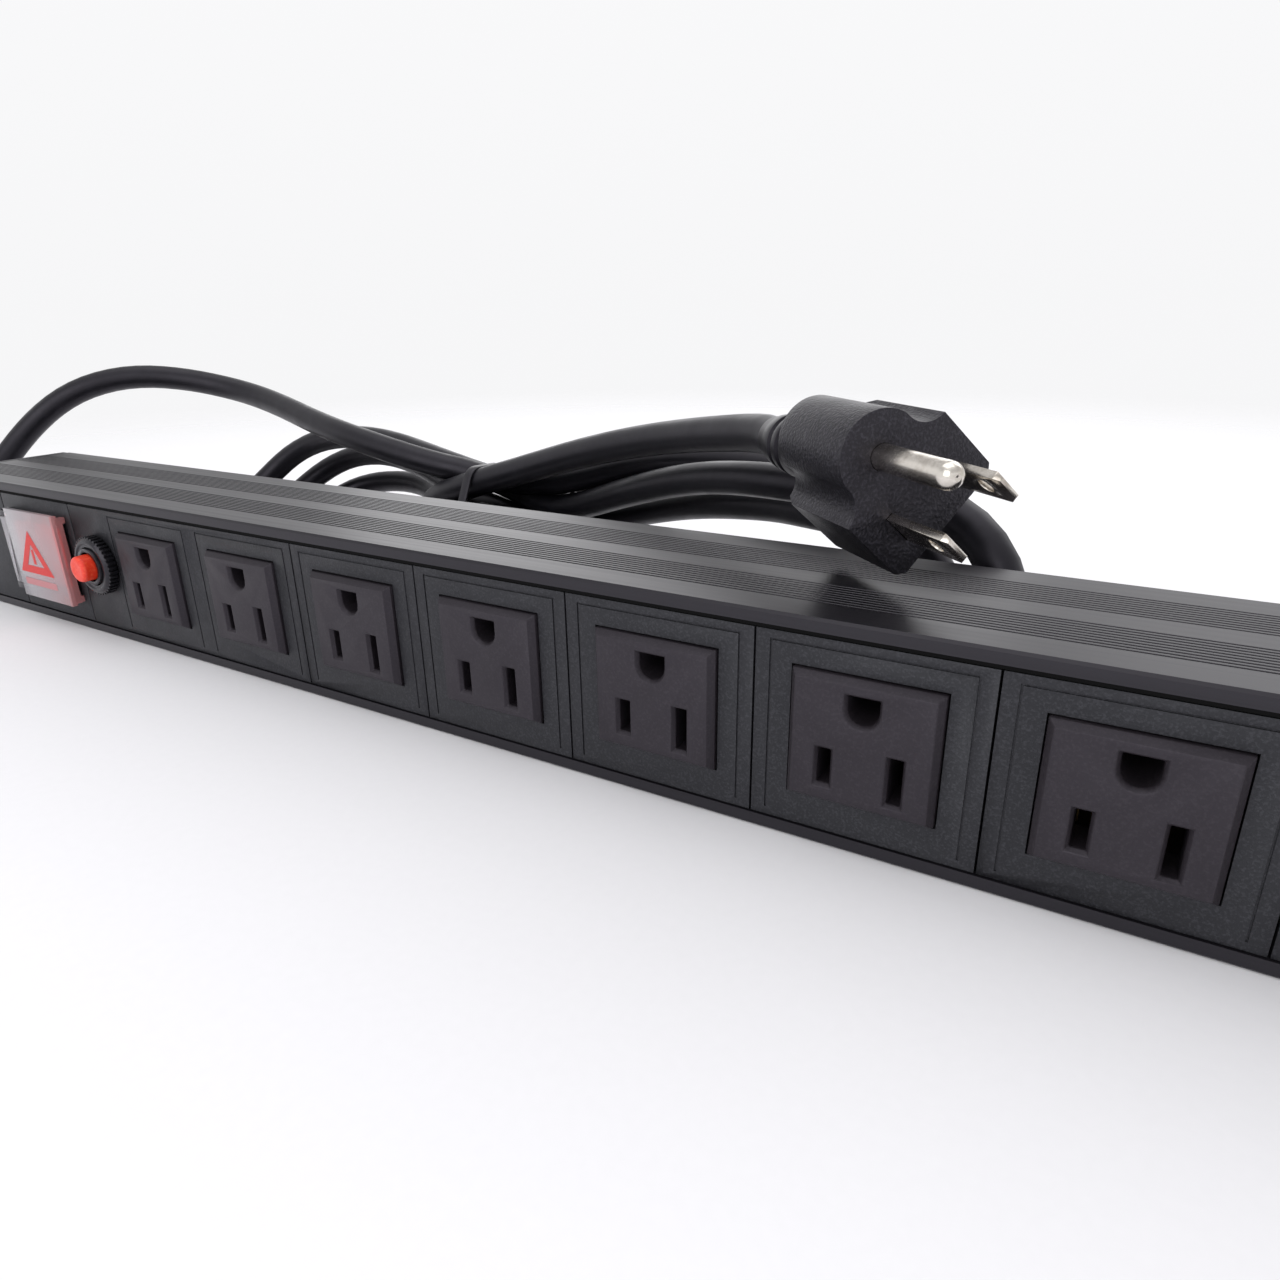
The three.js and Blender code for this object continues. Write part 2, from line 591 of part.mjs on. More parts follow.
// ---- cord ---------------------------------------------------------------------------------
// The lead leaves the gland, arches over the left end and lies down on the tied hank; the tail
// leaves the hank beside the tie and climbs to the plug.
const LEAD = [
  [-LENGTH / 2 - GLAND_OUT - GAP, 0, 22], [-239, 0, 22], [-250, 2.5, 23.3], [-259, 8.5, 27.3],
  [-263, 16, 34], [-261.5, 23, 42], [-256.5, 29.5, 50.5], [-250.5, 36, 58], [-243.5, 43.5, 64.3],
  [-236, 53, 68], [-226, 62, 69.5], [-212, 75, 67], [-190, 84, 62], [-163, 81, 57.5],
  [-137, 75, 53], [-112, 70, 49.5],
];
const HANK = { left: [-164, 89], right: [98, 57], radius: 30, low: 1.9, high: 44 };
const TIE = { x: -53, wide: 4, thick: 1 };
const TAIL_START = [[-14, 68, 49.4], [4, 64, 54.2], [24, 58, 58.6], [43, 49.5, 62]];

function hankHeading() {
  const [left, right] = [new THREE.Vector2(...HANK.left), new THREE.Vector2(...HANK.right)];
  return right.sub(left).angle();
}

function hankGeometry() {
  const heading = hankHeading();
  const outline = [];
  [[HANK.right, heading - Math.PI / 2], [HANK.left, heading + Math.PI / 2]].forEach(([[x, y], start]) => {
    for (let i = 0; i <= 10; i += 1) {
      const angle = start + (Math.PI * i) / 10;
      outline.push(new THREE.Vector2(x + HANK.radius * Math.cos(angle), y + HANK.radius * Math.sin(angle)));
    }
  });
  return new THREE.ExtrudeGeometry(new THREE.Shape(outline),
    { depth: HANK.high - HANK.low, bevelEnabled: false }).translate(0, 0, HANK.low);
}

function tieGeometry() {
  const inner = { y: HANK.radius + GAP, z: [HANK.low - GAP, HANK.high + GAP] };
  const half = TIE.wide / 2;
  const outer = solid(block([-half, half], [-inner.y - TIE.thick, inner.y + TIE.thick],
    [inner.z[0] - TIE.thick, inner.z[1] + TIE.thick]));
  return geometryOf(outer.subtract(solid(block([-half - 1, half + 1], [-inner.y, inner.y], inner.z))));
}

function buildCord() {
  add("cord_lead", tube(LEAD, CORD, 12, 26), pvc);
  add("cord_hank", hankGeometry(), pvc);
  const tie = add("cord_tie", tieGeometry(), blackPlastic);
  const [[x0, y0], [x1, y1]] = [HANK.left, HANK.right];
  tie.position.set(TIE.x, y0 + ((TIE.x - x0) / (x1 - x0)) * (y1 - y0), 0);
  tie.rotation.z = hankHeading();
}

// ---- plug ---------------------------------------------------------------------------------
// Local axes: x from the neutral blade to the line blade, y up to the ground pin, z out of the face.
const PIN = { radius: 2.375, long: 21, up: 11.9, sunk: 8 };
const BLADE = { wide: 6.35, thick: 1.52, long: 16.8, hole: 1.6, holeAt: 11.7, sunk: 8 };
const LOBE = { radius: 7.2, from: 14 };   // round part over the ground pin; from, in degrees
const NOTCH = { centre: [12, 13.1], radius: 5.3 };
const WIDE = { half: 13, low: -7.6, high: 7.7 };
const RELIEF = { long: 26, up: 6.5, root: 7.2, tip: 5.6 };

function arc([cx, cy], radius, fromDegrees, toDegrees, steps) {
  return Array.from({ length: steps + 1 }, (_, i) => {
    const angle = THREE.MathUtils.degToRad(fromDegrees + ((toDegrees - fromDegrees) * i) / steps);
    return [cx + radius * Math.cos(angle), cy + radius * Math.sin(angle)];
  });
}

function plugOutline(narrow = 1, shorten = 1) {
  const notch = arc(NOTCH.centre, NOTCH.radius, 268, 180, 5);
  const right = [[WIDE.half, WIDE.low], [WIDE.half, WIDE.high], ...notch];
  const shoulder = notch[notch.length - 1][1];
  const pinch = ([a, b]) => [a * narrow, shoulder - (shoulder - b) * shorten];
  const half = right.map(pinch);
  half[half.length - 1][0] = right[right.length - 1][0];
  const lobe = arc([0, PIN.up], LOBE.radius, LOBE.from, 180 - LOBE.from, 10);
  const left = half.map(([a, b]) => [-a, b]).reverse();
  return [...half, ...lobe, ...left];
}

function plugFrame() {
  const yaw = THREE.MathUtils.degToRad(PLUG.yaw);
  const roll = THREE.MathUtils.degToRad(PLUG.roll);
  const out = new THREE.Vector3(Math.cos(yaw), Math.sin(yaw), 0);
  const side = new THREE.Vector3(-Math.sin(yaw), Math.cos(yaw), 0);
  const up = new THREE.Vector3(0, 0, 1);
  const across = side.clone().multiplyScalar(Math.cos(roll)).addScaledVector(up, Math.sin(roll));
  return new THREE.Matrix4().makeBasis(across, out.clone().cross(across), out)
    .setPosition(...PLUG.at);
}

function plugBody() {
  const skin = loft([
    { points: plugOutline(), at: 0 },
    { points: plugOutline(), at: -PLUG.wideDeep },
    { points: plugOutline(0.72, 0.74), at: -PLUG.deep },
  ], (a, b, at) => [a, b, at]);
  const g = GAP;
  let body = solid(skin);
  [-1, 1].forEach((side) => {
    const x = (side * BLADE_SPACING) / 2;
    body = body.subtract(solid(block([x - BLADE.thick / 2 - g, x + BLADE.thick / 2 + g],
      [-BLADE.wide / 2 - g, BLADE.wide / 2 + g], [-BLADE.sunk - g, 1])));
  });
  return body.subtract(solid(round("z", [0, PIN.up], PIN.radius + g, -PIN.sunk - g, 1, 16)));
}

function bladeGeometry(x) {
  const half = BLADE.wide / 2;
  const outline = [
    [-half, -BLADE.sunk], [half, -BLADE.sunk], [half, BLADE.long - 0.9],
    [half - 0.9, BLADE.long], [-half + 0.9, BLADE.long], [-half, BLADE.long - 0.9],
  ];
  const hole = new THREE.Path(arc([0, BLADE.holeAt], BLADE.hole, 0, 324, 9)
    .map(([a, b]) => new THREE.Vector2(a, b)));
  return alongX(outline, x - BLADE.thick / 2, x + BLADE.thick / 2, [hole]);
}

function pinGeometry() {
  const dome = arc([0, PIN.long - PIN.radius], PIN.radius, 0, 90, 5).slice(0, -1);
  const profile = [[0, -PIN.sunk], [PIN.radius, -PIN.sunk], ...dome, [0, PIN.long]]
    .map(([r, y]) => new THREE.Vector2(r, y));
  return new THREE.LatheGeometry(profile, 16).rotateX(Math.PI / 2).translate(0, PIN.up, 0);
}

function reliefGeometry() {
  const { long, up, root, tip } = RELIEF;
  const groove = 0.9;
  const profile = [[0, 0], [root, 0], [root, 2], [root - groove, 2.2], [root - groove, 3.2],
    [root - 0.1, 3.4], [root - 0.1, 5], [root - groove - 0.1, 5.2], [root - groove - 0.1, 6.2],
    [root - 0.3, 6.4], [tip, long], [0, long]].map(([r, y]) => new THREE.Vector2(r, y));
  return new THREE.LatheGeometry(profile, 20).rotateX(-Math.PI / 2).translate(0, up, -PLUG.deep - GAP);
}

function buildPlug() {
  const plug = new THREE.Group();
  const frame = plugFrame();
  plug.applyMatrix4(frame);
  model.add(plug);
  add("plug_body", geometryOf(plugBody()), blackPlastic, plug);
  add("plug_strain_relief", reliefGeometry(), blackPlastic, plug);
  add("plug_ground_pin", pinGeometry(), nickel, plug);
  add("plug_line_blade", bladeGeometry(BLADE_SPACING / 2), nickel, plug);
  add("plug_neutral_blade", bladeGeometry(-BLADE_SPACING / 2), nickel, plug);
  const back = -PLUG.deep - RELIEF.long - 2 * GAP;
  const ends = [back - 7, back].map((z) => new THREE.Vector3(0, RELIEF.up, z).applyMatrix4(frame).toArray());
  add("cord_tail", tube([...TAIL_START, ...ends], CORD, 12, 10), pvc);
}

buildHousing();
buildEndCaps();
buildGland();
buildPlates();
buildOutlets();
buildBusbars();
buildSwitch();
buildRocker();
buildGuard();
buildBreaker();
buildWires();
buildCord();
buildPlug();

export default model;
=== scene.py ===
"""Rack power strip with a guarded switch, reset breaker, tied power cord and moulded plug.

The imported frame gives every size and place. This script dresses the frame's own solids and adds
the pieces that a moulder, a turner and a cable maker would finish by hand.
"""

from __future__ import annotations

import logging
import math
from dataclasses import dataclass, field
from enum import Enum
from typing import Callable, Iterable, Optional, Sequence

import bmesh
import bpy
import numpy as np
from mathutils import Matrix, Vector

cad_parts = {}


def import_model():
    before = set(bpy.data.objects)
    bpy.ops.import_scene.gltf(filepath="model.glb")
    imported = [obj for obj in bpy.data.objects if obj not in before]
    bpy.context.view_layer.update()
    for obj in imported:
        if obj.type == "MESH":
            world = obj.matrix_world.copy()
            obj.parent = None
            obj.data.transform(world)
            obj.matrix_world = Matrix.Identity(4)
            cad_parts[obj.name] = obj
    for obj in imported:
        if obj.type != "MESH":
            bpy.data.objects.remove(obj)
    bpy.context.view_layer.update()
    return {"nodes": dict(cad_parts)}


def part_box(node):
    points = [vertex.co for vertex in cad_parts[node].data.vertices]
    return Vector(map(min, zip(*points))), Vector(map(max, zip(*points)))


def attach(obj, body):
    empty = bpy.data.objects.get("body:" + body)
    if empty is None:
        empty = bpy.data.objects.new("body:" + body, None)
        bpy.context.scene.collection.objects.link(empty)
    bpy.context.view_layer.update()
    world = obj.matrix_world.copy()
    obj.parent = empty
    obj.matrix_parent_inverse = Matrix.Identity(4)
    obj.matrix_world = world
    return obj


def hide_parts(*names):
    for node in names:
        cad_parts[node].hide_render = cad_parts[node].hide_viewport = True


MM = 0.001
LOG = logging.getLogger("power_strip")
Point = tuple[float, float, float]
Material = bpy.types.Material
Object = bpy.types.Object


# ---- colour and node helpers ----------------------------------------------------------------


def linear(code: str) -> tuple[float, float, float, float]:
    """Turns an sRGB hex code into a linear colour.

    Args:
        code: Six hex digits after a hash, such as "#2c2c2f".

    Returns:
        Linear red, green, blue and an alpha of 1.
    """
    shares = [int(code[i:i + 2], 16) / 255 for i in (1, 3, 5)]
    bent = [s / 12.92 if s <= 0.04045 else ((s + 0.055) / 1.055) ** 2.4 for s in shares]
    return (bent[0], bent[1], bent[2], 1.0)


def add_node(tree: bpy.types.NodeTree, kind: str, inputs: Optional[dict] = None,
             **settings: object) -> bpy.types.Node:
    """Adds a shader node.

    Args:
        tree: The material's or world's node tree.
        kind: The node's type after "ShaderNode".
        inputs: Socket names or numbers, each with a value or with a socket to link from.
        **settings: Properties of the node itself.

    Returns:
        The new node.
    """
    node = tree.nodes.new("ShaderNode" + kind)
    for name, value in settings.items():
        setattr(node, name, value)
    for key, value in (inputs or {}).items():
        if isinstance(value, bpy.types.NodeSocket):
            tree.links.new(value, node.inputs[key])
        else:
            node.inputs[key].default_value = value
    return node


def new_material(name: str) -> tuple[Material, bpy.types.NodeTree, bpy.types.NodeSocket]:
    """Makes an empty material.

    Args:
        name: The material's name.

    Returns:
        The material, its node tree and its Object coordinates.
    """
    material = bpy.data.materials.new(name)
    material.use_nodes = True
    tree = material.node_tree
    tree.nodes.clear()
    return material, tree, add_node(tree, "TexCoord").outputs["Object"]


def finish_surface(tree: bpy.types.NodeTree, shader: bpy.types.Node) -> None:
    """Links a shader to the material's surface."""
    add_node(tree, "OutputMaterial", {"Surface": shader.outputs[0]})


# ---- finishes -------------------------------------------------------------------------------


@dataclass(frozen=True)
class Moulded:
    """A moulded plastic: a grained skin with a little unevenness in tone and shine.

    Sizes are in millimetres. The grain is the texture etched into the mould.
    """

    name: str
    colour: str
    pale: str
    roughness: float
    grain: float
    depth: float
    ior: float = 1.5
    sheen: str = "#efe9f8"
    spread: float = 0.06
    bump: float = 1.0

    def build(self) -> Material:
        """Makes the material.

        Returns:
            The finished material.
        """
        material, tree, place = new_material(self.name)
        grain = add_node(tree, "TexNoise", {
            "Vector": place, "Scale": 1 / (self.grain * MM), "Detail": 2.0, "Roughness": 0.5})
        cloud = add_node(tree, "TexNoise", {"Vector": place, "Scale": 1 / (9 * MM), "Detail": 4.0})
        tone = add_node(tree, "MixRGB", {
            "Fac": add_node(tree, "MapRange", {
                "Value": grain.outputs["Fac"], "From Min": 0.48, "From Max": 0.75}).outputs[0],
            "Color1": linear(self.colour), "Color2": linear(self.pale)})
        shine = add_node(tree, "MapRange", {
            "Value": cloud.outputs["Fac"], "From Min": 0.3, "From Max": 0.7,
            "To Min": self.roughness - self.spread, "To Max": self.roughness + self.spread})
        bump = add_node(tree, "Bump", {
            "Height": grain.outputs["Fac"], "Strength": self.bump, "Distance": self.depth * MM})
        finish_surface(tree, add_node(tree, "BsdfPrincipled", {
            "Base Color": tone.outputs[0], "Roughness": shine.outputs[0], "IOR": self.ior,
            "Specular Tint": linear(self.sheen), "Normal": bump.outputs[0]}))
        return material


@dataclass(frozen=True)
class Anodised:
    """Black anodised aluminium: a dyed oxide over drawn metal, with faint lines from the die.

    The lines run along X. The floors of the flutes and the undercut edge of the front lip, each at
    its own height, are made fully rough and painted dark: painted shade on the flute floors, and a
    painted shadow of the gap under the lip. Sizes are in millimetres.
    """

    name: str
    colour: str
    pale: str
    # The dark colour is painted shade in the flutes and a painted shadow under the front lip.
    painted_shade: str
    roughness: float
    line: float = 0.9
    run: float = 90.0
    flute_floor: float = 43.6
    flute_reach: float = 0.27
    flute_end: float = 15.0
    lip_edge: float = 41.10
    lip_reach: float = 0.35
    lip_front: float = -22.5

    def zone(self, tree: bpy.types.NodeTree, axes: bpy.types.Node, height: tuple[float, float],
             depth: tuple[float, float]) -> bpy.types.NodeSocket:
        """Marks a band that runs the whole length of the bar.

        Args:
            tree: The material's node tree.
            axes: The separated Object coordinates.
            height: The band's middle and reach on Z.
            depth: The band's middle and reach on Y.

        Returns:
            A value that is 1 in the band and 0 elsewhere.
        """
        on_z = add_node(tree, "Math", {
            0: axes.outputs["Z"], 1: height[0] * MM, 2: height[1] * MM}, operation="COMPARE")
        on_y = add_node(tree, "Math", {
            0: axes.outputs["Y"], 1: depth[0] * MM, 2: depth[1] * MM}, operation="COMPARE")
        return add_node(tree, "Math", {
            0: on_z.outputs[0], 1: on_y.outputs[0]}, operation="MULTIPLY").outputs[0]

    def build(self) -> Material:
        """Makes the material.

        Returns:
            The finished material.
        """
        material, tree, place = new_material(self.name)
        drawn = add_node(tree, "Mapping", {
            "Vector": place, "Scale": (1 / (self.run * MM), 1 / (self.line * MM), 1 / (self.line * MM))})
        lines = add_node(tree, "TexNoise", {"Vector": drawn.outputs[0], "Scale": 1.0, "Detail": 2.0})
        grit = add_node(tree, "TexNoise", {"Vector": place, "Scale": 1 / (0.25 * MM), "Detail": 2.0})
        drawn_tone = add_node(tree, "MixRGB", {
            "Fac": lines.outputs["Fac"], "Color1": linear(self.colour), "Color2": linear(self.pale)})
        axes = add_node(tree, "SeparateXYZ", {"Vector": place})
        # Painted shade on the flute floors and a painted shadow of the gap under the front lip: both get the
        # dark colour and full roughness.
        flutes = self.zone(tree, axes, (self.flute_floor, self.flute_reach), (0.0, self.flute_end))
        lip = self.zone(tree, axes, (self.lip_edge, self.lip_reach), (self.lip_front, 2.0))
        sunk = add_node(tree, "Math", {0: flutes, 1: lip}, operation="MAXIMUM")
        tone = add_node(tree, "MixRGB", {
            "Fac": sunk.outputs[0], "Color1": drawn_tone.outputs[0], "Color2": linear(self.painted_shade)})
        shine = add_node(tree, "MapRange", {
            "Value": lines.outputs["Fac"], "From Min": 0.3, "From Max": 0.7,
            "To Min": self.roughness - 0.03, "To Max": self.roughness + 0.03})
        dull = add_node(tree, "Math", {0: shine.outputs[0], 1: sunk.outputs[0]}, operation="MAXIMUM")
        bump = add_node(tree, "Bump", {
            "Height": grit.outputs["Fac"], "Strength": 0.5, "Distance": 0.006 * MM})
        finish_surface(tree, add_node(tree, "BsdfPrincipled", {
            "Base Color": tone.outputs[0], "Metallic": 0.55, "Roughness": dull.outputs[0],
            "Normal": bump.outputs[0]}))
        return material


@dataclass(frozen=True)
class Plated:
    """A plated or bare metal part with fine rub marks and a little tarnish."""

    name: str
    colour: str
    dark: str
    roughness: float
    rub: float = 0.18

    def build(self) -> Material:
        """Makes the material.

        Returns:
            The finished material.
        """
        material, tree, place = new_material(self.name)
        rubs = add_node(tree, "TexNoise", {"Vector": place, "Scale": 1 / (self.rub * MM), "Detail": 4.0})
        stain = add_node(tree, "TexNoise", {"Vector": place, "Scale": 1 / (3 * MM), "Detail": 3.0})
        tone = add_node(tree, "MixRGB", {
            "Fac": add_node(tree, "MapRange", {
                "Value": stain.outputs["Fac"], "From Min": 0.45, "From Max": 0.75}).outputs[0],
            "Color1": linear(self.colour), "Color2": linear(self.dark)})
        shine = add_node(tree, "MapRange", {
            "Value": rubs.outputs["Fac"], "From Min": 0.3, "From Max": 0.7,
            "To Min": self.roughness - 0.05, "To Max": self.roughness + 0.08})
        bump = add_node(tree, "Bump", {
            "Height": rubs.outputs["Fac"], "Strength": 0.4, "Distance": 0.01 * MM})
        finish_surface(tree, add_node(tree, "BsdfPrincipled", {
            "Base Color": tone.outputs[0], "Metallic": 1.0, "Roughness": shine.outputs[0],
            "Normal": bump.outputs[0]}))
        return material


@dataclass(frozen=True)
class Clear:
    """A clear or tinted moulding, such as polycarbonate, that light passes through."""

    name: str
    colour: str
    roughness: float
    ior: float = 1.58
    glow: str = "#000000"
    strength: float = 0.0

    def build(self) -> Material:
        """Makes the material.

        Returns:
            The finished material.
        """
        material, tree, place = new_material(self.name)
        haze = add_node(tree, "TexNoise", {"Vector": place, "Scale": 1 / (4 * MM), "Detail": 3.0})
        shine = add_node(tree, "MapRange", {
            "Value": haze.outputs["Fac"], "From Min": 0.3, "From Max": 0.7,
            "To Min": self.roughness * 0.8, "To Max": self.roughness * 1.2})
        bump = add_node(tree, "Bump", {
            "Height": haze.outputs["Fac"], "Strength": 0.25, "Distance": 0.05 * MM})
        # The emission is the lamp's own light in the lamp glass, and a painted glow in the rocker.
        finish_surface(tree, add_node(tree, "BsdfPrincipled", {
            "Base Color": linear(self.colour), "Roughness": shine.outputs[0], "IOR": self.ior,
            "Transmission Weight": 1.0, "Normal": bump.outputs[0],
            "Emission Color": linear(self.glow), "Emission Strength": self.strength}))
        return material


@dataclass(frozen=True)
class Hazed:
    """A scuffed clear cover: part of the light goes through and part is scattered.

    Its tint runs from grey at the hinge to a painted pink glow at the free edge, which stands in for
    the rocker's light gathering there, and to a deeper painted pink in the wall that closes the free side.
    """

    name: str
    grey: str
    # The second and third colours are a painted pink glow that stands in for the rocker's light.
    painted_glow: str
    deep: str
    roughness: float
    clear: float
    span: tuple[float, float] = (-165.0, -142.0)
    wall: tuple[float, float] = (-138.7, -138.3)

    def build(self) -> Material:
        """Makes the material.

        Returns:
            The finished material.
        """
        material, tree, place = new_material(self.name)
        across = add_node(tree, "SeparateXYZ", {"Vector": place}).outputs["X"]
        cloud = add_node(tree, "TexNoise", {"Vector": place, "Scale": 1 / (7 * MM), "Detail": 3.0})
        # Painted glow of the rocker's light: pink growing towards the free edge, uneven with noise, and
        # deeper pink in the side wall.
        share = add_node(tree, "MapRange", {
            "Value": across, "From Min": self.span[0] * MM, "From Max": self.span[1] * MM})
        uneven = add_node(tree, "Math", {
            0: share.outputs[0], 1: cloud.outputs["Fac"]}, operation="MULTIPLY")
        side = add_node(tree, "MapRange", {
            "Value": across, "From Min": self.wall[0] * MM, "From Max": self.wall[1] * MM})
        face = add_node(tree, "MixRGB", {
            "Fac": uneven.outputs[0], "Color1": linear(self.grey), "Color2": linear(self.painted_glow)})
        tone = add_node(tree, "MixRGB", {
            "Fac": side.outputs[0], "Color1": face.outputs[0], "Color2": linear(self.deep)})
        scuffs = add_node(tree, "TexNoise", {"Vector": place, "Scale": 1 / (0.6 * MM), "Detail": 4.0})
        shine = add_node(tree, "MapRange", {
            "Value": scuffs.outputs["Fac"], "From Min": 0.3, "From Max": 0.7,
            "To Min": self.roughness - 0.05, "To Max": self.roughness + 0.1})
        bump = add_node(tree, "Bump", {
            "Height": cloud.outputs["Fac"], "Strength": 0.2, "Distance": 0.02 * MM})
        finish_surface(tree, add_node(tree, "BsdfPrincipled", {
            "Base Color": tone.outputs[0], "Roughness": shine.outputs[0], "IOR": 1.58,
            "Transmission Weight": self.clear, "Normal": bump.outputs[0]}))
        return material


class Finish(Enum):
    """The finishes of the strip, each named for what it is made of."""

    # Dyed oxide on drawn aluminium: a soft, slightly purple sheen, with painted shade in the flutes and a
    # painted shadow under the front lip.
    ANODISED = Anodised("black_anodised_aluminium", "#29272c", "#312f35", "#040405", 0.34)
    # Spark-eroded ABS: a dry, speckled grey-black. The grain is drawn coarser, so that it shows.
    PANEL = Moulded("spark_grained_abs", "#161619", "#2e2e32", 0.5, 0.4, 0.07, 1.5, "#ecedf6")
    # Thermoplastic polyester: smoother than the plates, and a little mauve.
    OUTLET = Moulded("satin_polyester", "#1e1a1e", "#292529", 0.5, 0.5, 0.02)
    # Matte ABS: dull and nearly even, with a faint grain.
    CAP = Moulded("matte_abs", "#19191b", "#242427", 0.5, 0.4, 0.03)
    # Nylon from a polished mould: blacker and glossier than the plates.
    SWITCH = Moulded("gloss_nylon", "#121214", "#1c1c20", 0.28, 0.6, 0.008)
    # Extruded PVC: long soft highlights on a near-black skin with a faint, slow waviness.
    JACKET = Moulded("extruded_pvc", "#0c0c10", "#131318", 0.42, 2.4, 0.02, 1.45)
    # The same PVC from a spark-eroded mould: a broken, pebbly sheen. The grain is drawn coarser.
    PLUG = Moulded("grained_pvc", "#101013", "#302f35", 0.42, 0.55, 0.16, 1.5)
    # Vinyl over wire: a thin black band with a dull shine.
    TIE = Moulded("vinyl_strip", "#141416", "#232326", 0.4, 0.5, 0.02)
    # Dyed acetal: a strong, waxy orange-red.
    BUTTON = Moulded("orange_acetal", "#e8371c", "#f25a38", 0.33, 0.8, 0.01)
    # Screen ink: flat red on top of the clear cover.
    INK = Moulded("red_ink", "#c8231c", "#d8382e", 0.45, 0.6, 0.01)
    # The same ink, rubbed thin: a dull pink.
    WORN_INK = Moulded("worn_red_ink", "#b9797c", "#c08a8c", 0.45, 0.6, 0.01)
    # Wire insulation inside the housing: plain white and dark green.
    WHITE = Moulded("white_insulation", "#dcdcda", "#e8e8e6", 0.4, 0.8, 0.01)
    GREEN = Moulded("green_insulation", "#1c5c36", "#247044", 0.4, 0.8, 0.01)
    # Nickel on brass: a warm white metal with bright highlights and light rubs.
    NICKEL = Plated("nickel_plate", "#dcd6ce", "#b3aba1", 0.2)
    # Brass coloured dark all over as painted shade, since the contacts and busbars sit deep inside: a
    # brownish metal.
    BRASS = Plated("brass_darkened_as_shade", "#5c4c30", "#3a3020", 0.42)
    # Blackened steel: dark grey screw heads with a faint metal sheen.
    STEEL = Plated("black_oxide_steel", "#35353a", "#1c1c1f", 0.34)
    # Scuffed polycarbonate: milky grey at the hinge, with a painted pink glow of the rocker's light towards
    # the free edge and in the side wall.
    GUARD = Hazed("hazed_polycarbonate", "#d8d5db", "#ebbcbe", "#f2aeae", 0.14, 0.66)
    # Tinted polycarbonate, lit from behind by the lamp: a deep red with a faint painted glow that stands in
    # for that light.
    ROCKER = Clear("red_polycarbonate", "#d01410", 0.3, 1.58, "#ff2a18", 0.12)
    # Neon lamp in the switch: clear glass with a warm glow.
    LAMP = Clear("lamp_glass", "#ffd9b0", 0.05, 1.5, "#ff6a28", 1.0)


class Palette:
    """Builds each finish once and hands it out."""

    def __init__(self) -> None:
        """Starts with nothing built."""
        self.built: dict[Finish, Material] = {}

    def get(self, finish: Finish) -> Material:
        """Returns the material of a finish, and makes it the first time."""
        if finish not in self.built:
            self.built[finish] = finish.value.build()
        return self.built[finish]


PALETTE = Palette()


# ---- modelling helpers ----------------------------------------------------------------------


def deselect() -> None:
    """Leaves nothing selected and no object being edited."""
    if bpy.context.object and bpy.context.object.mode != "OBJECT":
        bpy.ops.object.mode_set(mode="OBJECT")
    bpy.ops.object.select_all(action="DESELECT")


def activate(piece: Object) -> None:
    """Makes a piece the only selected one, and the active one."""
    deselect()
    piece.select_set(True)
    bpy.context.view_layer.objects.active = piece


def name_new(name: str) -> Object:
    """Names the object that an operator has just added, and applies its scale."""
    piece = bpy.context.object
    piece.name = name
    piece.data.name = name
    bpy.ops.object.transform_apply(location=True, rotation=True, scale=True)
    return piece


def select_faces(piece: Object, test: Callable[[Vector, Vector], bool]) -> int:
    """Enters edit mode and selects faces by their place and normal.

    Args:
        piece: The mesh object.
        test: Says for a face's middle and normal whether it is wanted.

    Returns:
        How many faces are selected.
    """
    activate(piece)
    bpy.ops.object.mode_set(mode="EDIT")
    bpy.ops.mesh.select_mode(type="FACE")
    bpy.ops.mesh.select_all(action="DESELECT")
    shape = bmesh.from_edit_mesh(piece.data)
    count = 0
    for face in shape.faces:
        if test(face.calc_center_median(), face.normal):
            face.select_set(True)
            count += 1
    bmesh.update_edit_mesh(piece.data)
    return count


def end_edit() -> None:
    """Goes back to object mode."""
    bpy.ops.object.mode_set(mode="OBJECT")


def apply_modifier(piece: Object, kind: str, **settings: object) -> None:
    """Adds a modifier and applies it.

    Args:
        piece: The object to change.
        kind: The modifier's type.
        **settings: The modifier's properties.
    """
    activate(piece)
    modifier = piece.modifiers.new(kind.lower(), kind)
    for name, value in settings.items():
        setattr(modifier, name, value)
    bpy.ops.object.modifier_apply(modifier=modifier.name)


def round_edges(piece: Object, width: float, segments: int = 3, angle: float = 30) -> None:
    """Rounds a new piece's edges.

    Args:
        piece: The mesh object.
        width: The rounding's width in millimetres.
        segments: Faces across the rounding.
        angle: Edges sharper than this many degrees are rounded.
    """
    apply_modifier(piece, "BEVEL", width=width * MM, segments=segments, limit_method="ANGLE",
                   angle_limit=math.radians(angle), use_clamp_overlap=True)
    smooth(piece)


def smooth(piece: Object, angle: float = 35) -> None:
    """Smooths a piece's shading except over sharp edges, given in degrees."""
    activate(piece)
    bpy.ops.object.shade_smooth_by_angle(angle=math.radians(angle))


def cut(piece: Object, cutter: Object, operation: str = "DIFFERENCE") -> None:
    """Cuts or joins one object with another, which is then removed.

    Args:
        piece: The object that stays.
        cutter: The object that is used up.
        operation: "DIFFERENCE" or "UNION".
    """
    apply_modifier(piece, "BOOLEAN", object=cutter, operation=operation, solver="EXACT")
    bpy.data.objects.remove(cutter)


def box_piece(name: str, low: Sequence[float], high: Sequence[float]) -> Object:
    """Adds a box from corner to corner, in millimetres."""
    deselect()
    middle = [(a + b) / 2 * MM for a, b in zip(low, high)]
    bpy.ops.mesh.primitive_cube_add(size=1, location=middle)
    bpy.context.object.scale = [(b - a) * MM for a, b in zip(low, high)]
    return name_new(name)


def bar_piece(name: str, radius: float, length: float, sides: int = 48) -> Object:
    """Adds a round bar along Z, standing on the origin, in millimetres."""
    deselect()
    bpy.ops.mesh.primitive_cylinder_add(vertices=sides, radius=radius * MM, depth=length * MM,
                                        location=(0, 0, length / 2 * MM))
    return name_new(name)


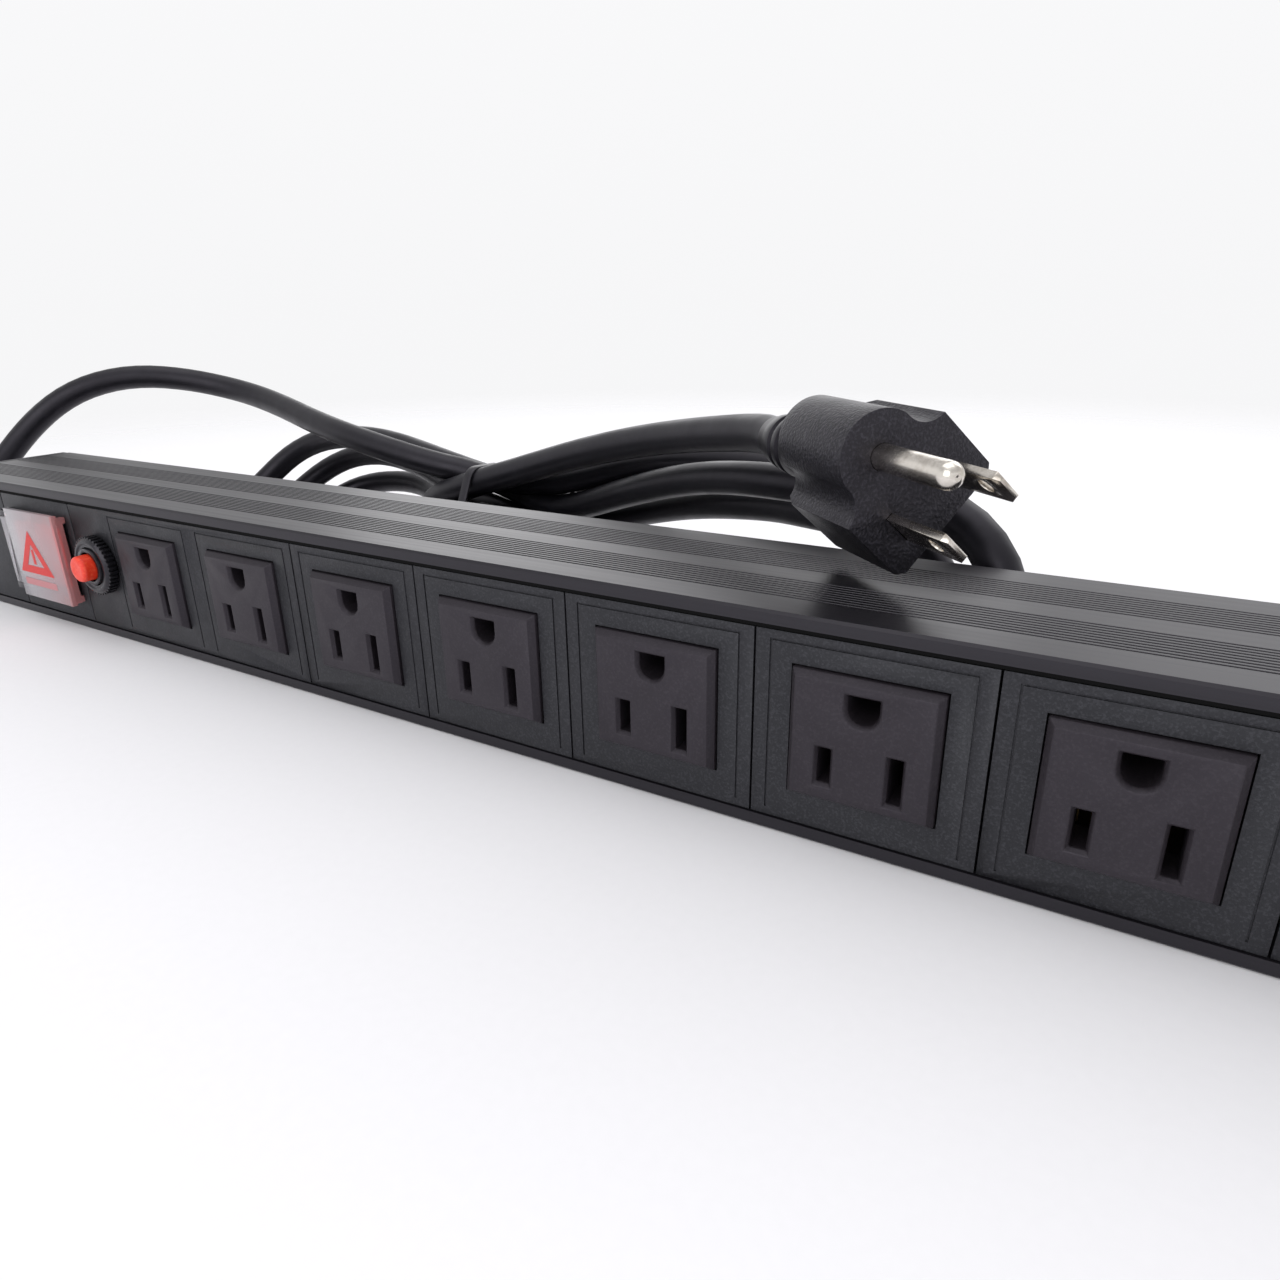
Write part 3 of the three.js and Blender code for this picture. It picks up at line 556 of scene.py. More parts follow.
def turned(name: str, profile: Sequence[tuple[float, float]], sides: int = 64) -> Object:
    """Turns a solid about Z by extruding a disc from station to station.

    Args:
        name: The new object's name.
        profile: Radius and height of each station in millimetres, from the bottom up.
        sides: Faces round it.

    Returns:
        The closed solid.
    """
    deselect()
    radius, height = profile[0]
    bpy.ops.mesh.primitive_circle_add(vertices=sides, radius=radius * MM, fill_type="NGON",
                                      location=(0, 0, height * MM))
    piece = name_new(name)
    bpy.ops.object.mode_set(mode="EDIT")
    bpy.ops.mesh.select_all(action="SELECT")
    for (r0, z0), (r1, z1) in zip(profile, profile[1:]):
        bpy.ops.mesh.extrude_region_move(
            TRANSFORM_OT_translate={"value": (0, 0, (z1 - z0) * MM)})
        bpy.ops.transform.resize(value=(r1 / r0, r1 / r0, 1), center_override=(0, 0, z1 * MM))
    bpy.ops.mesh.select_all(action="SELECT")
    bpy.ops.mesh.normals_make_consistent(inside=False)
    end_edit()
    return piece


def place(piece: Object, matrix: Matrix) -> Object:
    """Moves a piece's mesh by a matrix in metres, so that its object stays at the origin."""
    piece.data.transform(matrix)
    piece.data.update()
    return piece


def to_minus_y(x: float, y: float, z: float) -> Matrix:
    """Turns local +Z to point out of the outlets at a place in millimetres."""
    return Matrix.Translation(Vector((x, y, z)) * MM) @ Matrix.Rotation(math.pi / 2, 4, "X")


def copy_piece(piece: Object, name: str) -> Object:
    """Copies a piece with a mesh of its own."""
    twin = piece.copy()
    twin.data = piece.data.copy()
    twin.name = name
    twin.data.name = name
    bpy.context.scene.collection.objects.link(twin)
    return twin


def dress(piece: Object, finish: Finish) -> None:
    """Gives a piece one finish all over."""
    piece.data.materials.clear()
    piece.data.materials.append(PALETTE.get(finish))


def settle_in(piece: Object, finish: Finish, body: str, nodes: Iterable[str] = ()) -> None:
    """Dresses a new piece, fixes it to a body and hides what it stands for.

    Args:
        piece: The new piece.
        finish: Its finish.
        body: The body that it rides on.
        nodes: The frame's nodes that it stands for.
    """
    dress(piece, finish)
    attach(piece, body)
    for node in nodes:
        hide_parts(node)
    LOG.info("%s: %d faces", piece.name, len(piece.data.polygons))


# ---- the frame's own solids -----------------------------------------------------------------


@dataclass
class FrameDress:
    """Finishes the solids that stay as they are: a finish and rounded edges for each.

    An edge width is in millimetres.
    """

    nodes: dict[str, Object]

    def dress_node(self, name: str, finish: Finish, edge: float) -> None:
        """Gives one node its finish and rounds its edges.

        Args:
            name: The node's name.
            finish: Its finish.
            edge: Width of the rounded edges, or 0 for none.
        """
        node = self.nodes[name]
        dress(node, finish)
        if edge <= 0:
            return
        weld = node.modifiers.new("weld", "WELD")
        weld.merge_threshold = 0.002 * MM
        flat = node.modifiers.new("flat", "DECIMATE")
        flat.decimate_type = "DISSOLVE"
        flat.angle_limit = math.radians(1)
        bevel = node.modifiers.new("edge", "BEVEL")
        bevel.width = edge * MM
        bevel.segments = 2
        bevel.limit_method = "ANGLE"
        bevel.angle_limit = math.radians(28)
        bevel.harden_normals = True
        for face in node.data.polygons:
            face.use_smooth = True

    def build(self) -> None:
        """Dresses every node that shows or lies inside."""
        plan = {
            "housing": (Finish.ANODISED, 0), "end_cap_left": (Finish.CAP, 0.5),
            "end_cap_right": (Finish.CAP, 0.5), "cord_gland": (Finish.CAP, 0.3),
            "blank_plate": (Finish.PANEL, 0.15), "switch_plate": (Finish.PANEL, 0.15),
            "breaker_plate": (Finish.PANEL, 0.12), "switch_body": (Finish.SWITCH, 0.2),
            "switch_lamp": (Finish.LAMP, 0), "rocker": (Finish.ROCKER, 0.3),
            "breaker_body": (Finish.SWITCH, 0.2), "guard_hinge_pin": (Finish.NICKEL, 0),
            "busbar_carrier": (Finish.CAP, 0.3), "ground_screw": (Finish.BRASS, 0.1),
            "line_wire": (Finish.JACKET, 0), "switched_wire": (Finish.JACKET, 0),
            "load_wire": (Finish.JACKET, 0), "neutral_wire": (Finish.WHITE, 0),
            "ground_wire": (Finish.GREEN, 0),
        }
        for name in self.nodes:
            if name.startswith("outlet_plate_"):
                plan[name] = (Finish.PANEL, 0.12)
            elif name.startswith("outlet_"):
                plan[name] = (Finish.OUTLET, 0.22)
            elif "busbar" in name or "terminal" in name:
                plan.setdefault(name, (Finish.BRASS, 0.05))
        for name, (finish, edge) in plan.items():
            self.dress_node(name, finish, edge)
        LOG.info("dressed %d nodes of the frame", len(plan))


# ---- breaker, guard and screws --------------------------------------------------------------


@dataclass
class Breaker:
    """The breaker's knurled nut and its reset button. Millimetres."""

    radius: float = 8.9
    thick: float = 3.3
    bore: float = 5.9
    teeth: int = 40
    tooth_deep: float = 0.45

    def nut(self, centre: Vector, front: float) -> Object:
        """Makes the nut.

        Args:
            centre: The breaker's axis in the frame, in millimetres.
            front: Where the nut's front face is, on Y.

        Returns:
            The nut.
        """
        rim = self.radius - self.tooth_deep
        nut = turned("breaker_ring_nut", [
            (rim, 0), (rim, self.thick - 0.7), (rim - 0.6, self.thick - 0.1), (rim - 1.0, self.thick),
            (7.0, self.thick), (6.7, self.thick - 0.35), (6.3, self.thick - 0.35)],
            sides=2 * self.teeth)

        def every_other(middle: Vector, normal: Vector) -> bool:
            """Picks every second face of the rim."""
            angle = math.atan2(middle.y, middle.x) % (2 * math.pi)
            index = int(angle / (math.pi / self.teeth))
            on_rim = abs(normal.z) < 0.1 and middle.z < (self.thick - 0.7) * MM
            return on_rim and index % 2 == 0

        select_faces(nut, every_other)
        bpy.ops.mesh.extrude_region_shrink_fatten(
            TRANSFORM_OT_shrink_fatten={"value": self.tooth_deep * MM, "use_even_offset": True})
        end_edit()
        bore = place(bar_piece("bore", self.bore, 4 * self.thick),
                     Matrix.Translation((0, 0, -self.thick * MM)))
        cut(nut, bore)
        round_edges(nut, 0.12, 2, 40)
        return place(nut, to_minus_y(centre.x, front + self.thick, centre.z))

    def button(self, centre: Vector, tip: float, back: float) -> Object:
        """Makes the reset button with a softly domed end.

        Args:
            centre: The button's axis in the frame, in millimetres.
            tip: Where its outer end is, on Y.
            back: Where its inner end is, on Y.

        Returns:
            The button.
        """
        radius = 3.9
        tall = back - tip
        dome = [(radius - 0.9 * (1 - math.cos(a)), tall - 1.1 + 1.0 * math.sin(a))
                for a in (math.radians(15 * i) for i in range(7))]
        button = turned("breaker_reset_button", [
            (3.4, 0), (radius, 1.8), (radius, tall - 1.2), *dome, (2.6, tall), (1.8, tall - 0.12),
            (0.4, tall - 0.16)], sides=48)
        smooth(button)
        return place(button, to_minus_y(centre.x, back, centre.z))

    def build(self) -> None:
        """Makes both pieces where the frame has them."""
        low, high = (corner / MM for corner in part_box("breaker_nut"))
        nut = self.nut((low + high) / 2, low.y)
        settle_in(nut, Finish.SWITCH, "strip", ["breaker_nut"])
        low, high = (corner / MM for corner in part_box("reset_button"))
        button = self.button((low + high) / 2, low.y, high.y)
        settle_in(button, Finish.BUTTON, "button", ["reset_button"])


@dataclass
class Guard:
    """The clear cover over the rocker, with its knuckle, legs and a plain printed mark."""

    thick: float = 1.5
    mark_centre: tuple[float, float] = (-154.0, 21.7)
    mark_side: float = 19.5
    stroke: float = 2.5
    ink: float = 0.05
    hinge_y: float = -24.7
    hinge_in: float = 1.6
    knuckle: float = 1.6
    wall: float = 0.9

    def sheet(self) -> Object:
        """Makes the cover: a plate with a thin rim behind it, a web, a barrel and two legs."""
        low, high = (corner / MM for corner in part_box("guard_cover"))
        left, right = low.x + 4.6, high.x
        front = low.y
        hinge_x = low.x + self.hinge_in
        cover = box_piece("guard_window", (left, front, low.z), (right, front + self.thick, high.z))
        select_faces(cover, lambda middle, normal: normal.y > 0.9)
        bpy.ops.mesh.inset(thickness=1.3 * MM)
        bpy.ops.transform.translate(value=(0, -0.45 * MM, 0))
        end_edit()
        pin_low, pin_high = low.z + 3.8, high.z - 3.0
        barrel = place(bar_piece("barrel", self.knuckle, pin_high - pin_low),
                       Matrix.Translation(Vector((hinge_x, self.hinge_y, pin_low)) * MM))
        web = box_piece("web", (hinge_x, front + 0.25, pin_low),
                        (left + 1, front + self.thick - 0.1, pin_high))
        cut(cover, web, "UNION")
        cut(cover, barrel, "UNION")
        pin = place(bar_piece("pin", 0.9, high.z - low.z, 24),
                    Matrix.Translation(Vector((hinge_x, self.hinge_y, low.z)) * MM))
        cut(cover, pin)
        wall = box_piece("side_wall", (right - self.wall, front + self.thick - 0.3, low.z + 0.6),
                         (right, high.y - 0.9, high.z - 0.6))
        cut(cover, wall, "UNION")
        for z in (low.z + 0.8, high.z - 2.6):
            leg = box_piece("leg", (right - self.wall, front + self.thick - 0.6, z),
                            (right, high.y, z + 1.8))
            cut(cover, leg, "UNION")
        round_edges(cover, 0.22, 2, 35)
        return cover

    def mark(self) -> Object:
        """Makes the printed mark: a triangle outline with a short bar inside."""
        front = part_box("guard_cover")[0].y / MM
        x, z = self.mark_centre
        tall = self.mark_side * 0.72
        deselect()
        bpy.ops.mesh.primitive_circle_add(vertices=3, radius=1, fill_type="NGON")
        mark = name_new("guard_mark")
        corners = [(x, z + tall * 0.66), (x - self.mark_side / 2, z - tall * 0.34),
                   (x + self.mark_side / 2, z - tall * 0.34)]
        for vertex, (a, b) in zip(mark.data.vertices, corners):
            vertex.co = Vector((a, front - self.ink, b)) * MM
        select_faces(mark, lambda middle, normal: True)
        bpy.ops.mesh.inset(thickness=self.stroke * MM)
        bpy.ops.mesh.delete(type="FACE")
        end_edit()
        bar = box_piece("bar", (x - 0.7, front - self.ink, z - 1.6),
                        (x + 0.7, front - self.ink / 2, z + 3.2))
        activate(mark)
        bar.select_set(True)
        bpy.ops.object.join()
        apply_modifier(mark, "SOLIDIFY", thickness=self.ink * 0.5 * MM, offset=0)
        return mark

    def underline(self) -> Object:
        """Makes the worn printed bar under the mark."""
        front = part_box("guard_cover")[0].y / MM
        x, z = self.mark_centre
        top = z - self.mark_side * 0.72 * 0.34 - 2.0
        bar = box_piece("guard_underline", (x - self.mark_side / 2 + 1, front - self.ink, top - 2.2),
                        (x + self.mark_side / 2, front - self.ink / 2, top))
        round_edges(bar, 0.01, 1)
        return bar

    def build(self) -> None:
        """Makes the cover and its printing."""
        settle_in(self.sheet(), Finish.GUARD, "guard", ["guard_cover"])
        settle_in(self.mark(), Finish.INK, "guard")
        settle_in(self.underline(), Finish.WORN_INK, "guard")


@dataclass
class EndScrews:
    """Eight black pan-head screws with a cross recess. Millimetres."""

    head: float = 3.1
    tall: float = 1.8
    shank: float = 1.45

    def pattern(self) -> Object:
        """Makes one screw along Z with its seat at the origin."""
        arc = [(self.head * math.cos(a), 0.5 + (self.tall - 0.5) * math.sin(a))
               for a in (math.radians(12 * i) for i in range(7))]
        screw = turned("screw_pattern", [(self.shank, -11), (self.shank, 0), (self.head, 0.05), *arc,
                                         (0.2, self.tall)], sides=40)
        for turn in (0, math.pi / 2):
            blade = box_piece("recess", (-1.6, -0.35, self.tall - 1.0), (1.6, 0.35, self.tall + 1))
            cut(screw, place(blade, Matrix.Rotation(turn, 4, "Z")))
        round_edges(screw, 0.06, 2, 40)
        return screw

    def build(self) -> None:
        """Copies the screw to each place."""
        pattern = self.pattern()
        for side, sign in (("left", -1), ("right", 1)):
            for number in range(1, 5):
                node = f"end_screw_{side}_{number}"
                low, high = (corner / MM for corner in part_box(node))
                seat = (high.x - 1.8) if sign > 0 else (low.x + 1.8)
                middle = (low + high) / 2
                turn = Matrix.Rotation(sign * math.pi / 2, 4, "Y")
                spin = Matrix.Rotation(math.radians(23 * number + 10), 4, "Z")
                where = Matrix.Translation(Vector((seat, middle.y, middle.z)) * MM)
                screw = place(copy_piece(pattern, f"pan_screw_{side}_{number}"), where @ turn @ spin)
                settle_in(screw, Finish.STEEL, "strip", [node])
        bpy.data.objects.remove(pattern)


# ---- plug -----------------------------------------------------------------------------------


@dataclass
class Plug:
    """The moulded plug: body, strain relief, round ground pin and two flat blades.

    Local axes: X across the blades, Y up to the ground pin, Z out of the face. Millimetres.
    """

    at: Point = (111.8, 1.3, 60.8)
    yaw: float = -41.7
    roll: float = 47.8
    deep: float = 24.0
    wide_deep: float = 22.0
    half: float = 13.0
    low: float = -7.6
    high: float = 7.9
    notch_centre: tuple[float, float] = (13.2, 13.1)
    notch_radius: float = 5.1
    pin_up: float = 11.9
    pin_radius: float = 2.375
    hole_radius: float = 2.42
    sunk: float = 8.0
    lobe_radius: float = 8.3
    spacing: float = 12.7
    relief_up: float = 6.5
    relief_long: float = 26.0
    gap: float = 0.3

    def frame(self) -> Matrix:
        """Returns the matrix from the plug's own axes, in metres, to the frame."""
        yaw, roll = math.radians(self.yaw), math.radians(self.roll)
        out = Vector((math.cos(yaw), math.sin(yaw), 0))
        side = Vector((-math.sin(yaw), math.cos(yaw), 0))
        across = side * math.cos(roll) + Vector((0, 0, 1)) * math.sin(roll)
        turn = Matrix((across, out.cross(across), out)).transposed().to_4x4()
        return Matrix.Translation(Vector(self.at) * MM) @ turn

    def outline(self, narrow: float = 1.0) -> list[tuple[float, float]]:
        """Makes the outline across the body.

        Args:
            narrow: Share of the wide part's width and height.

        Returns:
            Points round the outline, counter-clockwise.
        """
        cx, cy = self.notch_centre
        notch = [(cx + self.notch_radius * math.cos(a), cy + self.notch_radius * math.sin(a))
                 for a in (math.radians(268 - 8 * i) for i in range(12))]
        shoulder = notch[-1][1]
        points = [(self.half - 1.6, self.low), (self.half, self.low + 1.6), (self.half, self.high), *notch]
        right = [(x * narrow, shoulder - (shoulder - y) * narrow) for x, y in points[:-1]]
        right.append(notch[-1])
        lobe = [(self.lobe_radius * math.cos(a), self.pin_up + self.lobe_radius * math.sin(a))
                for a in (math.radians(14 + 152 * i / 28) for i in range(29))]
        return [*right, *lobe, *[(-x, y) for x, y in reversed(right)]]

    def body(self) -> Object:
        """Makes the body by extruding the face backwards and drawing in its back edge."""
        stations = [(0.0, 1.0), (-self.wide_deep, 1.0), (-self.deep, 0.9)]
        first = self.outline()
        deselect()
        bpy.ops.mesh.primitive_circle_add(vertices=len(first), radius=10 * MM, fill_type="NGON")
        body = name_new("moulded_plug_body")
        for vertex, (x, y) in zip(body.data.vertices, first):
            vertex.co = Vector((x, y, 0)) * MM
        for (z0, _), (z1, narrow) in zip(stations, stations[1:]):
            select_faces(body, lambda middle, normal: (
                abs(middle.z - z0 * MM) < 1e-6 and abs(normal.z) > 0.99))
            bpy.ops.mesh.extrude_region_move(TRANSFORM_OT_translate={"value": (0, 0, (z1 - z0) * MM)})
            end_edit()
            moved = [v for v in body.data.vertices if abs(v.co.z - z1 * MM) < 1e-6]
            for vertex, (x, y) in zip(moved, self.outline(narrow)):
                vertex.co = Vector((x, y, z1)) * MM
        select_faces(body, lambda middle, normal: True)
        bpy.ops.mesh.normals_make_consistent(inside=False)
        end_edit()
        bottom = self.sunk + self.gap
        for side in (-1, 1):
            x = side * self.spacing / 2
            cut(body, box_piece("slot", (x - 0.8, -3.22, -bottom), (x + 0.8, 3.22, 1)))
        pin_hole = bar_piece("pin_hole", self.hole_radius, bottom + 1)
        cut(body, place(pin_hole, Matrix.Translation(Vector((0, self.pin_up, -bottom)) * MM)))
        round_edges(body, 0.35, 3, 24)
        return body

    def relief(self) -> Object:
        """Makes the strain relief with two grooves round its middle."""
        long = self.relief_long
        stations = [(6.5, 0), (6.7, 0.4), (6.7, 8.0), (6.6, 11.6), (5.2, 12.0), (5.2, 13.3), (6.5, 13.7),
                    (6.4, 15.8), (5.1, 16.2), (5.1, 17.5), (6.2, 17.9), (5.7, 21.5), (5.0, 23.2),
                    (4.85, long - 0.4), (4.6, long)]
        relief = turned("plug_bend_relief", stations, 56)
        round_edges(relief, 0.12, 2, 30)
        turn = Matrix.Rotation(math.pi, 4, "X")
        seat = Vector((0, self.relief_up, -self.deep - self.gap)) * MM
        return place(relief, Matrix.Translation(seat) @ turn)

    def pin(self) -> Object:
        """Makes the round ground pin with a domed end and a small pit."""
        radius, long = self.pin_radius, 21.0
        dome = [(radius * math.cos(a), long - radius + radius * math.sin(a))
                for a in (math.radians(10 * i) for i in range(9))]
        pin = turned("round_ground_pin", [(radius, -self.sunk), *dome, (0.3, long - 0.12)], 48)
        smooth(pin, 60)
        return place(pin, Matrix.Translation(Vector((0, self.pin_up, 0)) * MM))

    def blade(self, name: str, x: float) -> Object:
        """Makes one flat blade with a coined tip and a round hole.

        Args:
            name: The blade's name.
            x: Its place across the face.

        Returns:
            The blade.
        """
        thick, half, long = 0.76, 3.175, 16.8
        blade = box_piece(name, (x - thick, -half, -self.sunk), (x + thick, half, long))
        select_faces(blade, lambda middle, normal: normal.z > 0.9)
        bpy.ops.mesh.extrude_region_move(TRANSFORM_OT_translate={"value": (0, 0, 0)})
        bpy.ops.transform.resize(value=(0.5, 0.72, 1), center_override=(x * MM, 0, long * MM))
        end_edit()
        shape = blade.data
        for vertex in shape.vertices:
            outer = abs(abs(vertex.co.y) - half * MM) < 1e-6 and vertex.co.z > (long - 0.1) * MM
            if outer:
                vertex.co.z = (long - 1.0) * MM
        hole = bar_piece("hole", 1.6, 6, 40)
        where = Matrix.Translation(Vector((x - 3, 0, 11.7)) * MM)
        cut(blade, place(hole, where @ Matrix.Rotation(math.pi / 2, 4, "Y")))
        round_edges(blade, 0.1, 2, 30)
        return blade

    def build(self) -> list[Object]:
        """Makes the plug's pieces in place.

        Returns:
            The pieces, which ride on the strip like the cord.
        """
        half = self.spacing / 2
        plan = [
            (self.body(), Finish.PLUG, "plug_pvc", "plug_body"),
            (self.relief(), Finish.JACKET, "plug_pvc", "plug_strain_relief"),
            (self.pin(), Finish.NICKEL, "nickel", "plug_ground_pin"),
            (self.blade("flat_line_blade", half), Finish.NICKEL, "nickel", "plug_line_blade"),
            (self.blade("flat_neutral_blade", -half), Finish.NICKEL, "nickel", "plug_neutral_blade"),
        ]
        for piece, finish, slot, node in plan:
            place(piece, self.frame())
            settle_in(piece, finish, "strip", [node])
        return [row[0] for row in plan]


# ---- power cord -----------------------------------------------------------------------------

# The cord's route in millimetres, from the gland to the plug. The first part and the last are the
# same points as the frame's own lead and tail.
LEAD: list[Point] = [
    (-231.3, 0, 22), (-239, 0, 22), (-250, 2.5, 23.3), (-259, 8.5, 27.3), (-263, 16, 34),
    (-261.5, 23, 42), (-256.5, 29.5, 50.5), (-250.5, 36, 58), (-243.5, 43.5, 64.3), (-236, 53, 68),
    (-226, 62, 69.5), (-212, 75, 67), (-190, 84, 62), (-163, 81, 57.5), (-137, 75, 53), (-112, 70, 49.5),
]
LOOP_ONE: list[Point] = [
    (-88, 71, 44.5), (-70, 76, 39.5), (-53, 79, 36), (-38, 82, 35.5), (-20, 82, 39), (-2, 79, 44),
    (15, 76, 48.5), (35, 74.5, 50.5), (55, 71, 51), (72, 65, 48), (85, 58.5, 40.5), (92.5, 53, 30.5),
    (93.5, 47.5, 20), (89, 41, 11), (79, 36, 5.8), (60, 33.5, 4.8), (30, 36, 4.8), (0, 42, 7),
    (-25, 53, 18), (-53, 65.3, 29.8), (-80, 69, 20), (-105, 63, 9), (-130, 56, 4.8), (-158, 51, 4.8),
    (-175, 51, 5), (-187, 58, 7), (-193, 69, 11.5), (-193, 79, 17.5),
]
LOOP_TWO: list[Point] = [
    (-189, 88.5, 25.5), (-182, 95, 34.5), (-167, 99, 41.5), (-148, 98.5, 44.2), (-129, 97, 44.6),
    (-112, 95, 43), (-95, 92, 40.5), (-75, 89, 37.3), (-53, 88, 33.5), (-38, 85, 27.5),
    (-24, 82, 28.6), (-14, 80, 33.2), (-1, 76, 38.6), (14, 70.5, 42.5), (30, 64.5, 46.8),
    (44, 58, 49.7), (57, 51.5, 51.4), (69, 46.5, 52), (82, 43.5, 52.4), (94, 41.5, 53.2),
    (105, 39, 53), (114, 36, 51), (120.8, 32.5, 46.5), (125.2, 29.5, 39.5), (127.2, 28, 30),
    (126.2, 29, 20), (122.2, 32, 11.5), (114, 37.5, 6), (102, 44, 4.8), (85, 50, 4.8), (60, 53, 4.8),
    (30, 57, 4.8), (0, 62, 7), (-25, 68, 17), (-53, 74.2, 27.4), (-80, 78, 17), (-105, 77, 7.5),
    (-130, 72, 4.8), (-153, 69, 4.8), (-170, 71, 5), (-182, 78, 7), (-188.5, 88, 10),
]
LOOP_THREE: list[Point] = [
    (-187.5, 99, 15.5), (-180, 108.5, 25), (-166, 114, 32.5), (-152, 114.5, 34.7), (-132, 111.5, 35),
    (-110, 105, 32.5), (-88, 96, 29), (-70, 88, 26.5), (-53, 83.5, 25.5), (-36, 87, 23), (-20, 90, 25),
    (-8, 90.5, 26.5), (3, 88.5, 30), (15, 84.5, 33.5), (29, 78.5, 37), (43, 72, 39.6), (56, 66, 41.8),
    (68, 60, 43.2), (80, 54, 43.7), (92, 49.5, 43), (101.5, 46, 41.5), (108.5, 43.5, 37.5), (112.3, 41.5, 31),
    (113, 41.5, 23), (111, 46, 14.5), (105, 55.5, 7.5), (94, 65, 4.8), (75, 70, 4.8), (45, 73, 4.8),
    (10, 76, 4.8), (-15, 78, 8), (-35, 79, 14), (-53, 79, 18), (-72, 84, 13), (-92, 88, 6),
    (-115, 87, 4.8), (-138, 84, 4.8), (-156, 84, 4.8), (-170, 90, 5), (-178.5, 99, 6.5),
]
RISE: list[Point] = [
    (-179, 109.5, 11), (-172, 118, 17), (-160, 122, 20.3), (-146, 122.5, 22), (-131, 121, 22.3),
    (-117, 116.5, 20.5), (-104, 106, 18.5), (-95, 92, 20), (-86, 80, 25.5), (-72, 71.5, 32),
    (-53, 69.5, 37.8), (-34, 70, 43.3),
]
TAIL: list[Point] = [(-14, 68, 49.4), (4, 64, 54.2), (24, 58, 58.6), (43, 49.5, 62)]


@dataclass
class PowerCord:
    """A three-core cord of one length, from the gland through the tied hank to the plug.

    Millimetres. The housing's back is at `wall`, its top at `top` and its ends at `end`. A strand
    further back than `front` and less than `over` above the top is moved behind the housing.
    """

    diameter: float = 9.1
    step: float = 5.0
    rounds: int = 120
    bend: float = 27.0
    wall: float = 22.5
    top: float = 44.0
    end: float = 218.0
    over: float = 3.0
    front: float = 15.0
    sunk: float = 2.0
    tie_at: float = -53.0
    tie_wide: float = 3.2
    tie_thick: float = 0.9
    line: np.ndarray = field(default_factory=lambda: np.zeros((0, 3)))

    def stations(self, plug: Plug) -> list[Point]:
        """Returns the listed points, ending at the plug's strain relief."""
        matrix = plug.frame()
        back = -plug.deep - plug.relief_long - 2 * plug.gap
        ends = [tuple(matrix @ (Vector((0, plug.relief_up, z)) * MM) / MM) for z in (back - 7, back)]
        return [*LEAD, *LOOP_ONE, *LOOP_TWO, *LOOP_THREE, *RISE, *TAIL, *ends]

    def curve_through(self, points: Sequence[Point]) -> np.ndarray:
        """Draws a smooth curve through points and cuts it into even steps.

        Args:
            points: The stations.

        Returns:
            The curve's points, one step apart.
        """
        p = np.array(points, float)
        p = np.vstack([2 * p[0] - p[1], p, 2 * p[-1] - p[-2]])
        dense = []
        for i in range(1, len(p) - 2):
            knots = np.cumsum([0, *[np.linalg.norm(p[i + k] - p[i + k - 1]) ** 0.5 for k in (0, 1, 2)]])
            for t in np.linspace(knots[1], knots[2], 24, endpoint=False):
                a = [((knots[k + 1] - t) * p[i - 1 + k] + (t - knots[k]) * p[i + k])
                     / (knots[k + 1] - knots[k]) for k in range(3)]
                b = [((knots[k + 2] - t) * a[k] + (t - knots[k]) * a[k + 1]) / (knots[k + 2] - knots[k])
                     for k in range(2)]
                dense.append(((knots[2] - t) * b[0] + (t - knots[1]) * b[1]) / (knots[2] - knots[1]))
        dense.append(p[-2])
        return self.even(np.array(dense))

    def even(self, line: np.ndarray) -> np.ndarray:
        """Cuts a line into even steps, with its ends kept."""
        gone = np.concatenate([[0], np.cumsum(np.linalg.norm(np.diff(line, axis=0), axis=1))])
        count = int(round(gone[-1] / self.step)) + 1
        wanted = np.linspace(0, gone[-1], count)
        return np.stack([np.interp(wanted, gone, line[:, k]) for k in range(3)], axis=1)

    def unbend(self, line: np.ndarray, free: np.ndarray) -> np.ndarray:
        """Opens bends that are tighter than the cord allows.

        Args:
            line: The curve's points.
            free: How free each point is to move, from 0 to 1.

        Returns:
            The points, a little straighter where they turned too sharply.
        """
        reach = 4
        middle = (line[:-2 * reach] + line[2 * reach:]) / 2
        away = line[reach:-reach] - middle
        depth = np.linalg.norm(away, axis=1)
        spare = np.maximum(depth - (reach * self.step) ** 2 / (2 * self.bend), 0)
        move = away * (0.25 * spare / np.maximum(depth, 0.1))[:, None]
        opened = line.copy()
        opened[reach:-reach] -= move * free[reach:-reach]
        opened[:-2 * reach] += move / 2 * free[:-2 * reach]
        opened[2 * reach:] += move / 2 * free[2 * reach:]
        return opened

    def push_apart(self, line: np.ndarray) -> np.ndarray:
        """Moves strands that lie in each other, in the table or in the housing until they touch.

        Args:
            line: The curve's points.

        Returns:
            The settled points.
        """
        rest = line.copy()
        count = len(line)
        order = np.arange(count)
        near = np.abs(order[:, None] - order[None, :]) * self.step < 3 * self.diameter
        free = np.clip((np.minimum(order, count - 1 - order) - 3) / 8, 0, 1)[:, None]
        behind = self.wall + self.diameter / 2 + 0.2
        for _ in range(self.rounds):
            offset = line[:, None, :] - line[None, :, :]
            gap = np.linalg.norm(offset, axis=2)
            lack = np.where(near | (gap > self.diameter), 0, self.diameter * 1.01 - gap)
            push = (offset / np.maximum(gap, 0.1)[:, :, None] * lack[:, :, None]).sum(axis=1)
            touching = np.maximum((lack > 0).sum(axis=1), 1)[:, None]
            line = line + 0.5 * free * push / touching
            bent = line.copy()
            bent[1:-1] = (line[:-2] + line[2:]) / 2
            line = line + 0.12 * free * (bent - line)
            line = self.unbend(line, free)
            line = line + 0.02 * free * (rest - line)
            line[:, 2] = np.maximum(line[:, 2], self.diameter / 2 + 0.05)
            inside = ((line[:, 2] < self.top + self.over) & (np.abs(line[:, 0]) < self.end)
                      & (line[:, 1] > self.front))
            line[:, 1] = np.where(inside, np.maximum(line[:, 1], behind), line[:, 1])
        return line

